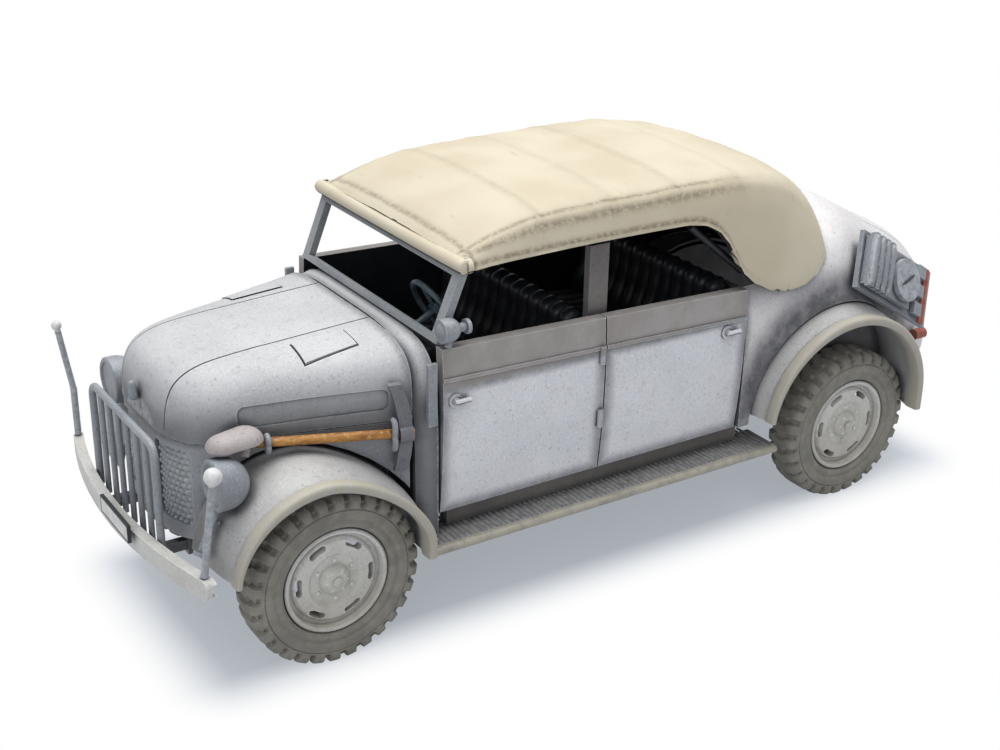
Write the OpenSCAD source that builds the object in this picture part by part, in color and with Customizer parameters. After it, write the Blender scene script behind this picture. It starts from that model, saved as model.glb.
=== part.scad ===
// Scale model of an open-topped four-wheel-drive field car with its hood raised.
// Millimetres at model size. The front faces -Y, the vehicle's left is +X, +Z is up.
// The origin is on the ground, under the middle of the model's length and width.

/* [Overall] */
// Distance between the front and rear axles
wheelbase = 45.6; // [42:0.1:55]
// From the front axle to the face of the front plate on the bumper
front_overhang = 11.5; // [11:0.1:14]
// From the rear axle to the back of the tail
rear_overhang = 14.4; // [13.4:0.1:17.5]
// Width over the wings
wing_w = 25.6; // [24.6:0.1:31]
// Width of the body at the doors
body_w = 21.2; // [20.4:0.1:22.2]
// Height of the hood's crown above the ground
roof_h = 28.9; // [28.3:0.1:34.7]
// Height of the door sills' top edge
sill_h = 20.3; // [19.6:0.1:21]

/* [Wheels] */
// Radius of the tyre
tyre_r = 6.17; // [5.6:0.01:6.4]
// Width of the tyre
tyre_w = 2.9; // [2.4:0.1:3.2]
// Radius of the rim where the tyre seats
rim_r = 3.75; // [3.4:0.05:4.2]
// Half of the distance between the left and right wheel centres
half_track = 9.45; // [9.3:0.05:9.7]
// Radius of the stub axle in the wheel hub
stub_r = 0.75; // [0.6:0.05:0.95]
// Radial gap between the stub axle and the hub's bore
hub_gap = 0.05; // [0.03:0.01:0.1]
// Number of curved slots in the wheel disc
disc_holes = 6; // [5:1:8]

/* [Body shell] */
// Thickness of the body shell and doors
shell_t = 0.8; // [0.65:0.05:0.95]
// Width of the shut lines between panels
shut_gap = 0.12; // [0.06:0.02:0.2]
// Height of the bonnet's top above the ground
bonnet_h = 20.8; // [20:0.1:21.2]
// Height of the doors' bottom edge
door_low = 8.7; // [8.4:0.1:9.2]
// Thickness of the running boards
board_t = 0.6; // [0.5:0.1:0.8]
// Height of the running boards' top face
board_top = 6.95; // [6.8:0.05:7.2]
// Thickness of the wings
wing_t = 0.6; // [0.5:0.05:0.75]
// Thickness of the hood's canvas
canvas_t = 0.6; // [0.5:0.05:0.8]

/* [Front fittings] */
// Radius of the headlight pods
lamp_r = 1.7; // [1.5:0.05:1.75]
// Number of upright bars in the brush guard
guard_bars = 8; // [6:1:9]
// Radius of the brush guard's bars
guard_bar_r = 0.2; // [0.16:0.01:0.24]
// Height of the brush guard's top rail
guard_h = 16.3; // [15.5:0.1:17]
// Height of the bumper blade
bumper_h = 1.4; // [1.1:0.1:1.6]
// Radius of the pickaxe handle
handle_r = 0.32; // [0.26:0.02:0.36]

/* [Rear fittings] */
// Radius of the upright bore in the tow hook's jaw
tow_bore_r = 0.4; // [0.3:0.05:0.5]
// Height of the tow hook's jaw
tow_jaw_h = 2.4; // [2:0.1:3]

/* [Hidden] */

seat_gap = 0.06;                 // between pieces that are seated on one another
slab = 0.02;                     // thickness of one section of a lofted shell
section_steps = 9;               // points on a quarter of a lofted section

front_axle_y = 0;
rear_axle_y = wheelbase;
nose_y = -8.6;                   // front of the nose panel
bonnet_end_y = 6.4;
door_front_y = 8.0;
door_mid_y = 21.2 + (wheelbase - 45.6) * 0.5;
door_rear_y = wheelbase - 11.6;
tail_y = wheelbase + rear_overhang;
hood_rear_y = wheelbase + 1.2;
hood_low = sill_h - 1.1;         // where the hood's outline starts, below its lowest edge
hood_edge = roof_h - 3.4;        // the hood's lower edge above the side windows
screen_tilt = 21.9;              // lean of the windscreen
screen_low = sill_h + 0.5 + seat_gap;
screen_l = (hood_edge - seat_gap - screen_low) / cos(screen_tilt);
hood_front_y = door_front_y + 0.05 + screen_l * sin(screen_tilt);

body_hw = body_w / 2;
wing_hw = wing_w / 2;
side_r = 60;                     // radius of the doors' bulge, seen from the front
side_z = 16;                     // height of the widest part of the doors
scuttle_hw = body_hw - 0.35;
valance_hw = 6.3;                // half width of the engine bay's side walls
belt_h = sill_h - 2.3;
wheel_z = tyre_r;

// outline points
function arch(hw, low, top, n) =
    [for (i = [0 : 2 * section_steps]) let (a = 90 * i / section_steps)
        [hw * sign(round(cos(a) * 1e6)) * pow(abs(cos(a)), 2 / n),
         low + (top - low) * pow(abs(sin(a)), 2 / n)]];
function quarter(y0, z0, a, h, n, from, to) =
    [for (i = [0 : section_steps]) let (t = from + (to - from) * i / section_steps)
        [y0 + a * sign(round(cos(t) * 1e6)) * pow(abs(cos(t)), 2 / n), z0 + h * pow(abs(sin(t)), 2 / n)]];

module both_sides() {
    children();
    mirror([1, 0, 0]) children();
}

// puts a piece drawn from the front axle into the model's frame
module place() {
    translate([0, (front_overhang - wheelbase - rear_overhang) / 2, 0]) children();
}

// an outline drawn in X and Z, drawn out along Y
module along_y(y0, y1) {
    translate([0, y1, 0]) rotate([90, 0, 0]) linear_extrude(height = y1 - y0) children();
}

// an outline drawn in Y and Z, drawn out along X
module along_x(x0, x1) {
    translate([x0, 0, 0]) rotate([90, 0, 90]) linear_extrude(height = x1 - x0) children();
}

module block(x0, x1, y0, y1, z0, z1) {
    translate([x0, y0, z0]) cube([x1 - x0, y1 - y0, z1 - z0]);
}

module rod(a, b, r) {
    d = b - a;
    l = norm(d);
    translate(a) rotate([0, acos(d[2] / l), atan2(d[1], d[0])]) cylinder(h = l, r = r, $fn = 24);
}

module rod_x(x0, x1, y, z, r, fn = 48) {
    translate([x0, y, z]) rotate([0, 90, 0]) cylinder(h = x1 - x0, r = r, $fn = fn);
}

// one convex shell form from a list of [y, half width, low, top, squareness] sections
module loft(sections) {
    hull()
        for (s = sections)
            along_y(s[0] - slab / 2, s[0] + slab / 2) polygon(arch(s[1], s[2], s[3], s[4]));
}

// ---- chassis ----

rail_x = 3.9;
rail_w = 1.0;
rail_low = wheel_z + 1.15;
rail_h = 1.35;
axle_tube_r = 0.62;
frame_front_y = nose_y + 1.0;
frame_rear_y = tail_y - 1.6;
cross_ys = [-6.6, 2.8, 13.5, 28, wheelbase - 6.6, wheelbase + 6.4, tail_y - 2.4];

module chassis_frame() {
    color("dimgray") place() {
        both_sides()
            block(rail_x - rail_w / 2, rail_x + rail_w / 2, frame_front_y, frame_rear_y,
                  rail_low, rail_low + rail_h);
        for (y = cross_ys)
            block(-rail_x, rail_x, y - 0.4, y + 0.4, rail_low + 0.2, rail_low + rail_h - 0.2);
        // bumper irons
        both_sides()
            block(rail_x - 0.3, rail_x + 0.3, bumper_back(rail_x), frame_front_y + 0.3,
                  rail_low + 0.3, rail_low + 1.0);
    }
}

module gearbox() {
    low = wheel_z - 1.1;
    color("gray") place() {
        block(-1.5, 1.5, 5.2, 11.6, low, rail_low + rail_h - 0.3);
        along_y(11.6, 12.9) translate([0, low + 1.5]) circle(r = 1.0, $fn = 48);
        // transfer box and the shafts to both axles
        block(-1.2, 2.4, 16.4, 19.6, low, rail_low + rail_h - 0.5);
        along_y(12.9, 16.4) translate([0.6, low + 1.3]) circle(r = 0.3, $fn = 24);
        block(-0.4, 1.0, 12.7, 13.05, low + 0.9, rail_low);
        along_y(19.6, rear_axle_y - 1.75) translate([0, wheel_z]) circle(r = 0.33, $fn = 24);
    }
}

module exhaust() {
    z = wheel_z + 0.35;
    x = 3.15 - tub_hw;
    color("saddlebrown") place() {
        along_y(7.5, 22) translate([x, z]) circle(r = 0.3, $fn = 24);
        along_y(22, 29.5) translate([x, z]) circle(r = 0.85, $fn = 48);
        along_y(29.5, wheelbase - 7.2) translate([x, z]) circle(r = 0.3, $fn = 24);
        // hangers up to the chassis
        for (y = [24, 28])
            block(x - 0.25, -rail_x - rail_w / 2 - seat_gap, y - 0.25, y + 0.25, z + 0.6, rail_low + 1.0);
    }
}

stub_end = half_track + tyre_w / 2 - 0.6;
knuckle_x = half_track - tyre_w / 2 - 0.75;

module axle(y, housing_r) {
    rod_x(-knuckle_x, knuckle_x, y, wheel_z, axle_tube_r);
    translate([0, y, wheel_z]) sphere(r = housing_r, $fn = 48);
    both_sides() {
        rod_x(knuckle_x - 0.5, knuckle_x + 0.55, y, wheel_z, 1.0);
        rod_x(knuckle_x, stub_end, y, wheel_z, stub_r);
    }
}

module front_axle() {
    color("gray") place() {
        difference() {
            axle(front_axle_y, 1.35);
            // flat on the housing's top
            block(-3, 3, -3, 3, rail_low - seat_gap, rail_low + 3);
        }
        // track rod and its arms
        rod_x(-knuckle_x, knuckle_x, 1.75, wheel_z - 0.35, 0.2, 24);
        both_sides()
            block(knuckle_x - 0.25, knuckle_x + 0.25, 0, 1.95, wheel_z - 0.6, wheel_z - 0.1);
    }
}

module rear_axle() {
    color("gray") place() {
        difference() {
            axle(rear_axle_y, 1.5);
            block(-3, 3, rear_axle_y - 3, rear_axle_y + 3, rail_low - seat_gap, rail_low + 3);
            block(-3, 3, rear_axle_y - 3, rear_axle_y - 1.3, wheel_z - 3, wheel_z + 3);
        }
        along_y(rear_axle_y - 1.75 + seat_gap, rear_axle_y - 1.2)
            translate([0, wheel_z]) circle(r = 0.6, $fn = 24);
    }
}

module spring(y, half_l) {
    leaf_t = (rail_low - wheel_z - axle_tube_r - 2 * seat_gap) / 2;
    low = wheel_z + axle_tube_r + seat_gap;
    block(rail_x - 0.4, rail_x + 0.4, y - half_l, y + half_l, low + leaf_t, low + 2 * leaf_t);
    block(rail_x - 0.4, rail_x + 0.4, y - half_l * 0.55, y + half_l * 0.55, low, low + leaf_t);
}

module leaf_springs() {
    color("dimgray") place() both_sides() {
        spring(front_axle_y, 5.2);
        spring(rear_axle_y, 6.4);
    }
}

tow_z = rail_low + 0.7;
tow_y = tail_y - 0.9;

module tow_hook() {
    color("dimgray") place() {
        difference() {
            union() {
                translate([0, tow_y, tow_z - tow_jaw_h / 2])
                    cylinder(h = tow_jaw_h, r = tow_bore_r + 0.5, $fn = 48);
                block(-0.5, 0.5, tail_y - 2.4 + 0.4 + seat_gap, tow_y, tow_z - 0.45, tow_z + 0.45);
            }
            translate([0, tow_y, tow_z - tow_jaw_h]) cylinder(h = 2 * tow_jaw_h, r = tow_bore_r, $fn = 48);
        }
    }
}

// ---- wheels ----

tyre_side = half_track + tyre_w / 2;

module tyre(y) {
    shoulder = 0.45;
    hw = tyre_w / 2;
    color([0.32, 0.32, 0.27]) place() translate([half_track, y, wheel_z]) rotate([0, 90, 0])
        rotate_extrude($fn = 96) polygon([
            [rim_r + 0.04, -hw + 0.35], [rim_r + 0.9, -hw], [tyre_r - shoulder - 0.5, -hw],
            [tyre_r - shoulder, -hw + 0.12], [tyre_r, -hw + shoulder],
            [tyre_r, hw - shoulder], [tyre_r - shoulder, hw - 0.12],
            [tyre_r - shoulder - 0.5, hw], [rim_r + 0.9, hw], [rim_r + 0.04, hw - 0.35]]);
}

module wheel(y) {
    hw = tyre_w / 2;
    face = hw - 0.45;            // the disc's outer face, from the wheel's middle
    disc_t = 0.5;
    bead_r = rim_r - 0.3;
    groove_r = rim_r - 0.75;
    slot_r = rim_r - 1.1;        // where the slots run round the disc
    slot_hw = 0.22;
    slot_angle = 19;
    hub_r = 1.15;
    color([0.56, 0.54, 0.47]) place() translate([half_track, y, wheel_z]) rotate([0, 90, 0])
        difference() {
            rotate_extrude($fn = 96) polygon([
                [0, -hw + 0.5], [hub_r, -hw + 0.5],
                [hub_r, face - disc_t - 0.1], [bead_r, face - disc_t - 0.25],
                [bead_r, -hw + 0.25], [rim_r, -hw + 0.25], [rim_r, hw - 0.25], [rim_r - 0.12, hw - 0.15],
                [bead_r, hw - 0.25], [bead_r - 0.1, face - 0.25], [groove_r + 0.1, face - 0.3],
                [groove_r - 0.15, face], [2.0, face + 0.06], [1.75, face - 0.1], [1.1, face - 0.12],
                [0.95, face + 0.1], [0.7, face + 0.3], [0, face + 0.34]]);
            for (i = [0 : disc_holes - 1])
                rotate([0, 0, 360 * (i + 0.3) / disc_holes]) {
                    translate([0, 0, -hw]) rotate_extrude(angle = slot_angle, $fn = 96)
                        translate([slot_r - slot_hw, 0]) square([2 * slot_hw, 2 * hw]);
                    for (a = [0, slot_angle])
                        rotate([0, 0, a]) translate([slot_r, 0, -hw])
                            cylinder(h = 2 * hw, r = slot_hw, $fn = 24);
                }
            // blind bore for the stub axle
            translate([0, 0, -2 * hw]) cylinder(h = 2 * hw + stub_end - half_track + 0.1,
                                               r = stub_r + hub_gap, $fn = 48);
        }
}

// ---- body ----

floor_low = rail_low + rail_h + seat_gap;
floor_t = 0.5;
post_y0 = door_mid_y - 0.8;
post_y1 = door_mid_y + 0.8;
// how far the doors lean in at the sill
door_lean = side_r - sqrt(side_r * side_r - pow(sill_h - side_z, 2));
tub_hw = body_hw - shell_t - 0.4 - door_lean;
tub_front_y = bonnet_end_y + 0.3;
tub_rear_y = door_rear_y + 1.0;

module body_tub() {
    color([0.5, 0.51, 0.53]) place() {
        difference() {
            block(-tub_hw, tub_hw, tub_front_y + 0.01, tub_rear_y, floor_low, floor_low + floor_t);
            rear_wing_space();
            // the floor narrows to pass inside the scuttle
            both_sides()
                block(scuttle_sections[0][1] - shell_t - seat_gap - 0.2, 20, 0, door_front_y + 0.1, 0, 40);
        }
        // firewall inside the scuttle, and the wall behind the rear seat
        intersection() {
            block(-tub_hw, tub_hw, tub_front_y, tub_front_y + 0.7, floor_low + floor_t / 2, sill_h);
            loft(shrink(scuttle_sections, shell_t + seat_gap, -1, 1));
        }
        difference() {
            block(0.2 - tub_hw, tub_hw - 0.2, tub_rear_y - 0.6, tub_rear_y,
                  floor_low + floor_t / 2, sill_h - 1.0);
            rear_wing_space();
        }
        both_sides() {
            // sill over the running board
            block(tub_hw - 0.6, tub_hw, door_front_y + 1.2, tub_rear_y,
                  board_top + seat_gap, door_low + 0.9);
            // door post
            block(tub_hw - 0.7, tub_hw, post_y0, post_y1, door_low, sill_h - 0.6);
            block(tub_hw - 0.5, tub_hw + 0.1, post_y0, post_y1, sill_h - 0.8, hood_edge - 0.25);
        }
    }
}

nose_top = 15.9;                 // where the bonnet meets the panel under it
nose_low = 8.9;

// half width of the nose and bonnet at a place along them
function nose_side(y) = lookup(y, [for (s = bonnet_sections) [s[0], s[1]]]);

// the bonnet's outline seen from above, moved inwards
module nose_outline(inset) {
    side = [for (s = bonnet_sections) [s[1] - inset, s[0] + (s[0] == bonnet_sections[0][0] ? inset : 0)]];
    last = len(side) - 1;
    polygon(concat(
        side, [for (i = [last : -1 : 0]) [-side[i][0], side[i][1]]]));
}

// a rectangle with rounded corners
module round_slot(w, h, r) {
    square([w - 2 * r, h], center = true);
    square([w, h - 2 * r], center = true);
    for (x = [-w / 2 + r, w / 2 - r], z = [-h / 2 + r, h / 2 - r])
        translate([x, z]) circle(r = r, $fn = 32);
}

module nose_panel() {
    mesh_x0 = 2.0;
    mesh_x1 = 5.4;
    mesh_z0 = 9.9;
    mesh_z1 = 15.2;
    top = nose_top - seat_gap;
    side_x = valance_hw + 0.1;
    color([0.55, 0.57, 0.6]) place() difference() {
        union() {
            // front and sides under the bonnet's edge, over the crowns of the front wings
            difference() {
                translate([0, 0, nose_low]) linear_extrude(height = top - nose_low) nose_outline(0);
                translate([0, 0, nose_low - 1])
                    linear_extrude(height = top - nose_low + 2) nose_outline(shell_t);
                block(-20, 20, bonnet_end_y - 0.2, bonnet_end_y + 2, nose_low - 1, nose_top + 1);
                both_sides()
                    along_x(side_x, 12)
                        polygon(wing_line(front_wing, wing_crown + seat_gap));
            }
            // walls between the engine and the wings
            both_sides()
                block(side_x - shell_t, side_x, nose_y + 2.9, bonnet_end_y - 0.2, nose_low, 14.6);
        }
        // air openings either side of the middle, with rounded corners
        both_sides()
            along_y(nose_y - 1, nose_y + 2.2)
                translate([(mesh_x0 + mesh_x1) / 2, (mesh_z0 + mesh_z1) / 2])
                    round_slot(mesh_x1 - mesh_x0, mesh_z1 - mesh_z0, 0.45);
    }
}

// [y, half width, low, top, squareness] of the bonnet's outside
bonnet_sections = [
    [nose_y + 0.15, 3.4, nose_top, bonnet_h - 2.9, 2.6],
    [nose_y + 0.6, 4.7, nose_top, bonnet_h - 1.5, 2.8],
    [nose_y + 1.5, 5.9, nose_top, bonnet_h - 0.75, 3.0],
    [nose_y + 3.1, 6.7, nose_top, bonnet_h - 0.3, 3.3],
    [nose_y + 6.0, 7.3, nose_top, bonnet_h - 0.1, 3.7],
    [0.5, 7.95, nose_top, bonnet_h, 4],
    [bonnet_end_y, scuttle_hw - 0.75, nose_top, bonnet_h + 0.25, 4.6]];

function shrink(sections, t, y0, y1) =
    [for (i = [0 : len(sections) - 1]) let (s = sections[i])
        [s[0] + (i == 0 ? y0 : i == len(sections) - 1 ? y1 : 0), s[1] - t, s[2] - 2 * t, s[3] - t, s[4]]];

louvre_z = 17.45;
louvre_h = 1.45;
louvre_l = 9.6;
seam_x = 3.75;                   // the bonnet's two long shut lines
crease = 0.14;                   // depth of the shut lines and recesses

module bonnet() {
    color([0.68, 0.69, 0.72]) place() difference() {
        union() {
            loft(bonnet_sections);
            // thin lids on the bonnet's top, following its curve
            intersection() {
                loft(shrink(bonnet_sections, -0.07, 0, 0));
                both_sides()
                    block(seam_x + 0.85, seam_x + 2.9, 0.2, 4.0, bonnet_h - 2, bonnet_h + 2);
            }
        }
        loft(shrink(bonnet_sections, shell_t, shell_t, 1));
        difference() {
            both_sides() {
                // recessed panel of air slots
                along_x(seam_x + 2, 12) translate([0.1, louvre_z]) round_slot(louvre_l, louvre_h, 0.5);
                block(seam_x - shut_gap / 2, seam_x + shut_gap / 2,
                      nose_y - 1, bonnet_end_y + 1, nose_top + 0.4, 40);
            }
            loft(shrink(bonnet_sections, crease, crease, 1));
        }
    }
}

// [y0, z0, front reach, rear reach, height, front squareness, rear squareness] of a wing's lip
front_wing = [-1.4, 8.2, 6.5, 7.9, 6.3, 2, 1.62];
rear_wing = [wheelbase - 2.1, 8.6, 8.1, 8.2, 7.8, 2, 2];
wing_crown = 0.75;
front_share = 0.6;               // how much of the crown the wing keeps at its front

function wing_line(w, k) = concat(
    [[w[0] + w[3] + k, -1]],
    quarter(w[0], w[1], w[3] + k, w[4] + k, w[6], 0, 90),
    quarter(w[0], w[1], w[2] + k * front_share, w[4] + k, w[5], 90, 180),
    [[w[0] - w[2] - k * front_share, -1]]);

// the wing's solid outside form; grow is its distance from the lip's outline
module wing_form(w, grow, x0, x1) {
    hull() {
        along_x(x0, x0 + slab) polygon(wing_line(w, grow + wing_crown));
        for (step = [[0.45, 0.9], [0.8, 0.5]]) {
            x = x0 + (x1 - x0) * step[0];
            along_x(x, x + slab) polygon(wing_line(w, grow + wing_crown * step[1]));
        }
        along_x(x1 - slab, x1) polygon(wing_line(w, grow));
    }
}

lip_w = 0.9;

module front_wing() {
    difference() {
        union() {
            wing_form(front_wing, -0.25, valance_hw + 0.2, wing_hw - lip_w + 0.1);
            along_x(wing_hw - lip_w, wing_hw) polygon(wing_line(front_wing, 0));
        }
        wing_form(front_wing, -0.25 - wing_t, valance_hw - 1, wing_hw - lip_w);
        along_x(wing_hw - lip_w - 0.1, wing_hw + 1) polygon(wing_line(front_wing, -0.75));
        // lower edges: over the running board at the back, above the bumper in front
        block(0, wing_hw + 1, -20, 20, -2, board_top + seat_gap);
        block(0, wing_hw + 1, -20, -2, -2, 9.0);
        block(0, wing_hw - lip_w - 0.2, -20, -2, -2, 10.2);
        // clear of the scuttle
        block(0, body_hw + 0.3, bonnet_end_y - 0.1, 20, -2, 20);
        // seat of the headlight pod
        translate([lamp_x, lamp_y, lamp_z]) {
            sphere(r = lamp_r + seat_gap, $fn = 48);
            rotate([90, 0, 0]) cylinder(h = 3, r = lamp_r + seat_gap, $fn = 48);
        }
    }
}

module rear_wing() {
    difference() {
        union() {
            wing_form(rear_wing, -0.25, wheelhouse_x, wing_hw - lip_w + 0.1);
            along_x(wing_hw - lip_w, wing_hw) polygon(wing_line(rear_wing, 0));
        }
        wing_form(rear_wing, -0.25 - wing_t, wheelhouse_x + wing_t, wing_hw - lip_w);
        along_x(wing_hw - lip_w - 0.1, wing_hw + 1) polygon(wing_line(rear_wing, -0.75));
        block(0, wing_hw + 1, 0, rear_axle_y, -2, board_top + seat_gap);
        block(0, wing_hw + 1, rear_axle_y, tail_y, -2, 9.5);
        // the wheelhouse wall is cut away round the axle
        block(0, wheelhouse_x + wing_t + 0.1, rear_axle_y - 3, rear_axle_y + 3, -2, rail_low + 2.2);
    }
}

wheelhouse_x = 6.9;

// openings for the rear wings and their wheelhouses
module rear_wing_space() {
    both_sides()
        along_x(wheelhouse_x - seat_gap, 20)
            polygon(wing_line(rear_wing, wing_crown - 0.25 + seat_gap));
}

// [y, half width, low, top, squareness] of the rear body's outside
rear_sections = [
    [door_rear_y + shut_gap, body_hw - 0.1, door_low, sill_h - 0.1, 8],
    [wheelbase - 6, body_hw - 0.1, door_low, sill_h + 0.5, 7],
    [wheelbase + 0.6, body_hw - 0.3, door_low, sill_h + 2.8, 3.6],
    [wheelbase + 6.0, body_hw - 1.3, door_low, sill_h + 0.6, 3.0],
    [wheelbase + 10.4, body_hw - 2.9, door_low, sill_h - 1.6, 2.8],
    [wheelbase + 13.0, body_hw - 4.6, door_low + 0.6, sill_h - 3.9, 2.6],
    [tail_y, body_hw - 6.6, door_low + 1.2, sill_h - 6.5, 2.4]];
boot_y0 = wheelbase + 4.6;
boot_y1 = wheelbase + 11.6;
boot_hw = 4.6;

module rear_body() {
    color([0.72, 0.73, 0.76]) place() difference() {
        loft(rear_sections);
        loft(shrink(rear_sections, shell_t, -1, -shell_t));
        // open cabin under the hood
        block(-tub_hw, tub_hw, door_rear_y - 1, hood_rear_y - 3.4, sill_h - 3, 40);
        block(-30, 30, door_rear_y - 1, hood_rear_y - 3.4, sill_h + 0.35, 40);
        rear_wing_space();
        block(-boot_hw, boot_hw, boot_y0, boot_y1, sill_h - 5.5, 40);
    }
}

module boot_lid() {
    g = shut_gap;
    color([0.76, 0.77, 0.8]) place() {
        difference() {
            intersection() {
                loft(rear_sections);
                block(-boot_hw + g, boot_hw - g, boot_y0 + g, boot_y1 - g, sill_h - 5.5 + g, 40);
            }
            loft(shrink(rear_sections, shell_t, -1, -shell_t));
        }
    }
}

scuttle_sections = [
    [bonnet_end_y + shut_gap, scuttle_hw - 0.6, board_top + seat_gap, bonnet_h + 0.3, 4.8],
    [door_front_y - shut_gap / 2, scuttle_hw, board_top + seat_gap, sill_h + 0.5, 7]];

module scuttle() {
    color([0.62, 0.64, 0.67]) place() difference() {
        loft(scuttle_sections);
        loft(shrink(scuttle_sections, shell_t, -1, 1));
        // open inside, clear of the floor and firewall
        block(-tub_hw - 0.1, tub_hw + 0.1, 0, door_front_y + 1, -1, 13);
    }
}

// side skin between two offsets from its outer face
module side_skin(t0, t1, y0, y1) {
    along_y(y0, y1) difference() {
        translate([body_hw - side_r, side_z]) circle(r = side_r - t0, $fn = 720);
        translate([body_hw - side_r, side_z]) circle(r = side_r - t1, $fn = 720);
    }
}

module door(y0, y1, top0, top1, handle_y) {
    belt0 = belt_h + top0 - sill_h;
    belt1 = belt_h + top1 - sill_h;
    handle_z = belt_h - 1.0;
    intersection() {
        side_skin(0, shell_t, y0, y1);
        along_x(0, 20) polygon([[y0, door_low], [y1, door_low], [y1, top1], [y0, top0]]);
    }
    // belt moulding
    intersection() {
        side_skin(-0.1, 0.1, y0 + 0.02, y1 - 0.02);
        along_x(0, 20) polygon([[y0, belt0], [y1, belt1], [y1, belt1 + 0.28], [y0, belt0 + 0.28]]);
    }
    // handle on its boss
    rod([body_hw - 0.4, handle_y, handle_z], [body_hw + 0.12, handle_y, handle_z], 0.5);
    rod([body_hw, handle_y, handle_z], [body_hw + 0.3, handle_y, handle_z], 0.25);
    along_y(handle_y - 0.2, handle_y + 1.0)
        translate([body_hw + 0.32, handle_z]) circle(r = 0.18, $fn = 24);
}

module front_door() {
    door(door_front_y + shut_gap, door_mid_y - shut_gap / 2, sill_h + 0.4, sill_h, door_front_y + 1.0);
    // hinge barrels on the post
    for (z = [12.2, 17.0])
        translate([body_hw + 0.05, door_mid_y - 0.32, z]) cylinder(h = 1.3, r = 0.24, $fn = 24);
}

module rear_door() {
    door(door_mid_y + shut_gap / 2, door_rear_y - shut_gap / 2, sill_h, sill_h - 0.4, door_rear_y - 1.9);
}

module running_board() {
    x0 = tub_hw - 0.9;
    x1 = wing_hw - 1.0;
    y0 = front_axle_y + tyre_r + 0.45;
    y1 = rear_axle_y - tyre_r - 2.3;
    color([0.5, 0.5, 0.47]) place() {
        block(x0, x1 - board_t / 2, y0, y1, board_top - board_t, board_top);
        along_y(y0, y1)
            translate([x1 - board_t / 2, board_top - board_t / 2]) circle(r = board_t / 2, $fn = 32);
        // brackets in to the chassis
        for (y = [9.5, (y0 + y1) / 2, y1 - 3])
            difference() {
                block(rail_x + rail_w / 2 + seat_gap, x0 + 0.25, y - 0.35, y + 0.35,
                      board_top - 0.1, rail_low + 0.7);
                block(0, x0, y - 1, y + 1, 0, rail_low + 0.15);
            }
    }
}

// ---- windscreen and hood ----

screen_bar = 0.42;               // half the width of the windscreen's posts

module windscreen_frame() {
    hw0 = scuttle_hw - 0.55;
    hw1 = scuttle_hw - 0.5;
    color([0.55, 0.56, 0.58]) place()
        translate([0, door_front_y + 0.05, screen_low]) rotate([-screen_tilt, 0, 0]) {
            along_y(0, 0.55) difference() {
                polygon([[-hw0, 0], [hw0, 0], [hw1, screen_l], [-hw1, screen_l]]);
                polygon([
                    [-hw0 + 2 * screen_bar, screen_bar], [hw0 - 2 * screen_bar, screen_bar],
                    [hw1 - 2 * screen_bar, screen_l - screen_bar],
                    [-hw1 + 2 * screen_bar, screen_l - screen_bar]]);
            }
        }
}

hood_hw = body_hw + 0.35;
roll_t = 0.6;                    // depth of the hood's front roll

// outline of the hood's section as shares of the half width and height: over the cabin, over the
// windscreen, where it is drawn down nearly flat, and round the rear end
hood_shape = [
    [1.00, 0.00], [0.985, 0.20], [0.96, 0.42], [0.925, 0.64], [0.90, 0.77], [0.865, 0.875],
    [0.80, 0.94], [0.70, 0.965], [0.52, 0.985], [0.28, 0.997]];
hood_front_shape = [
    [1.00, 0.00], [0.99, 0.30], [0.98, 0.60], [0.965, 0.80], [0.94, 0.905], [0.90, 0.945],
    [0.80, 0.965], [0.65, 0.98], [0.45, 0.99], [0.20, 0.998]];
hood_rear_shape = [for (i = [0 : len(hood_shape) - 1]) let (a = 9.4 * i) [cos(a), sin(a)]];

function blend(k) = [for (i = [0 : len(hood_shape) - 1]) hood_shape[i] * (1 - k) + hood_rear_shape[i] * k];

module hood_section(shape, hw, low, top) {
    polygon(concat(
        [for (p = shape) [hw * p[0], low + (top - low) * p[1]]],
        [[0, top]],
        [for (i = [len(shape) - 1 : -1 : 0]) let (p = shape[i]) [-hw * p[0], low + (top - low) * p[1]]]));
}

// how steeply the hood falls to the rear deck
fall = (roof_h - sill_h - 2.4) / 6.2;

// [y, half width, top, section] of the hood's outside
hood_stations = [
    [hood_front_y, hood_hw - 0.1, hood_edge + 0.95, hood_front_shape],
    [hood_front_y + 2.2, hood_hw, roof_h - 1.1 * fall, hood_shape],
    [hood_front_y + 6.5, hood_hw, roof_h - 0.2 * fall, hood_shape],
    [wheelbase - 20, hood_hw, roof_h, hood_shape],
    [wheelbase - 13, hood_hw, roof_h - 0.05 * fall, hood_shape],
    [wheelbase - 8.6, hood_hw - 0.05, roof_h - 0.6 * fall, blend(0.1)],
    [wheelbase - 6.2, hood_hw - 0.25, roof_h - 1.4 * fall, blend(0.3)],
    [wheelbase - 4.0, hood_hw - 0.7, roof_h - 2.5 * fall, blend(0.6)],
    [wheelbase - 3.0, hood_hw - 1.3, roof_h - 3.15 * fall, blend(0.8)],
    [wheelbase - 2.0, hood_hw - 2.6, roof_h - 3.9 * fall, hood_rear_shape],
    [wheelbase - 1.3, hood_hw - 4.1, roof_h - 4.35 * fall, hood_rear_shape],
    [wheelbase - 0.4, hood_hw - 6.2, roof_h - 5.0 * fall, hood_rear_shape],
    [hood_rear_y, hood_hw - 9.4, roof_h - 6.2 * fall, hood_rear_shape]];

module hood_loft(t) {
    hull()
        for (s = hood_stations)
            along_y(s[0] - slab / 2, s[0] + slab / 2)
                hood_section(s[3], s[1] - t, hood_low - 0.4, s[2] - t);
}

// side outline of the canvas: k runs from 0 at its edge over the windows to 1 at its lowest
function canvas_z(k) = hood_edge - k * (hood_edge - hood_low);

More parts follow.
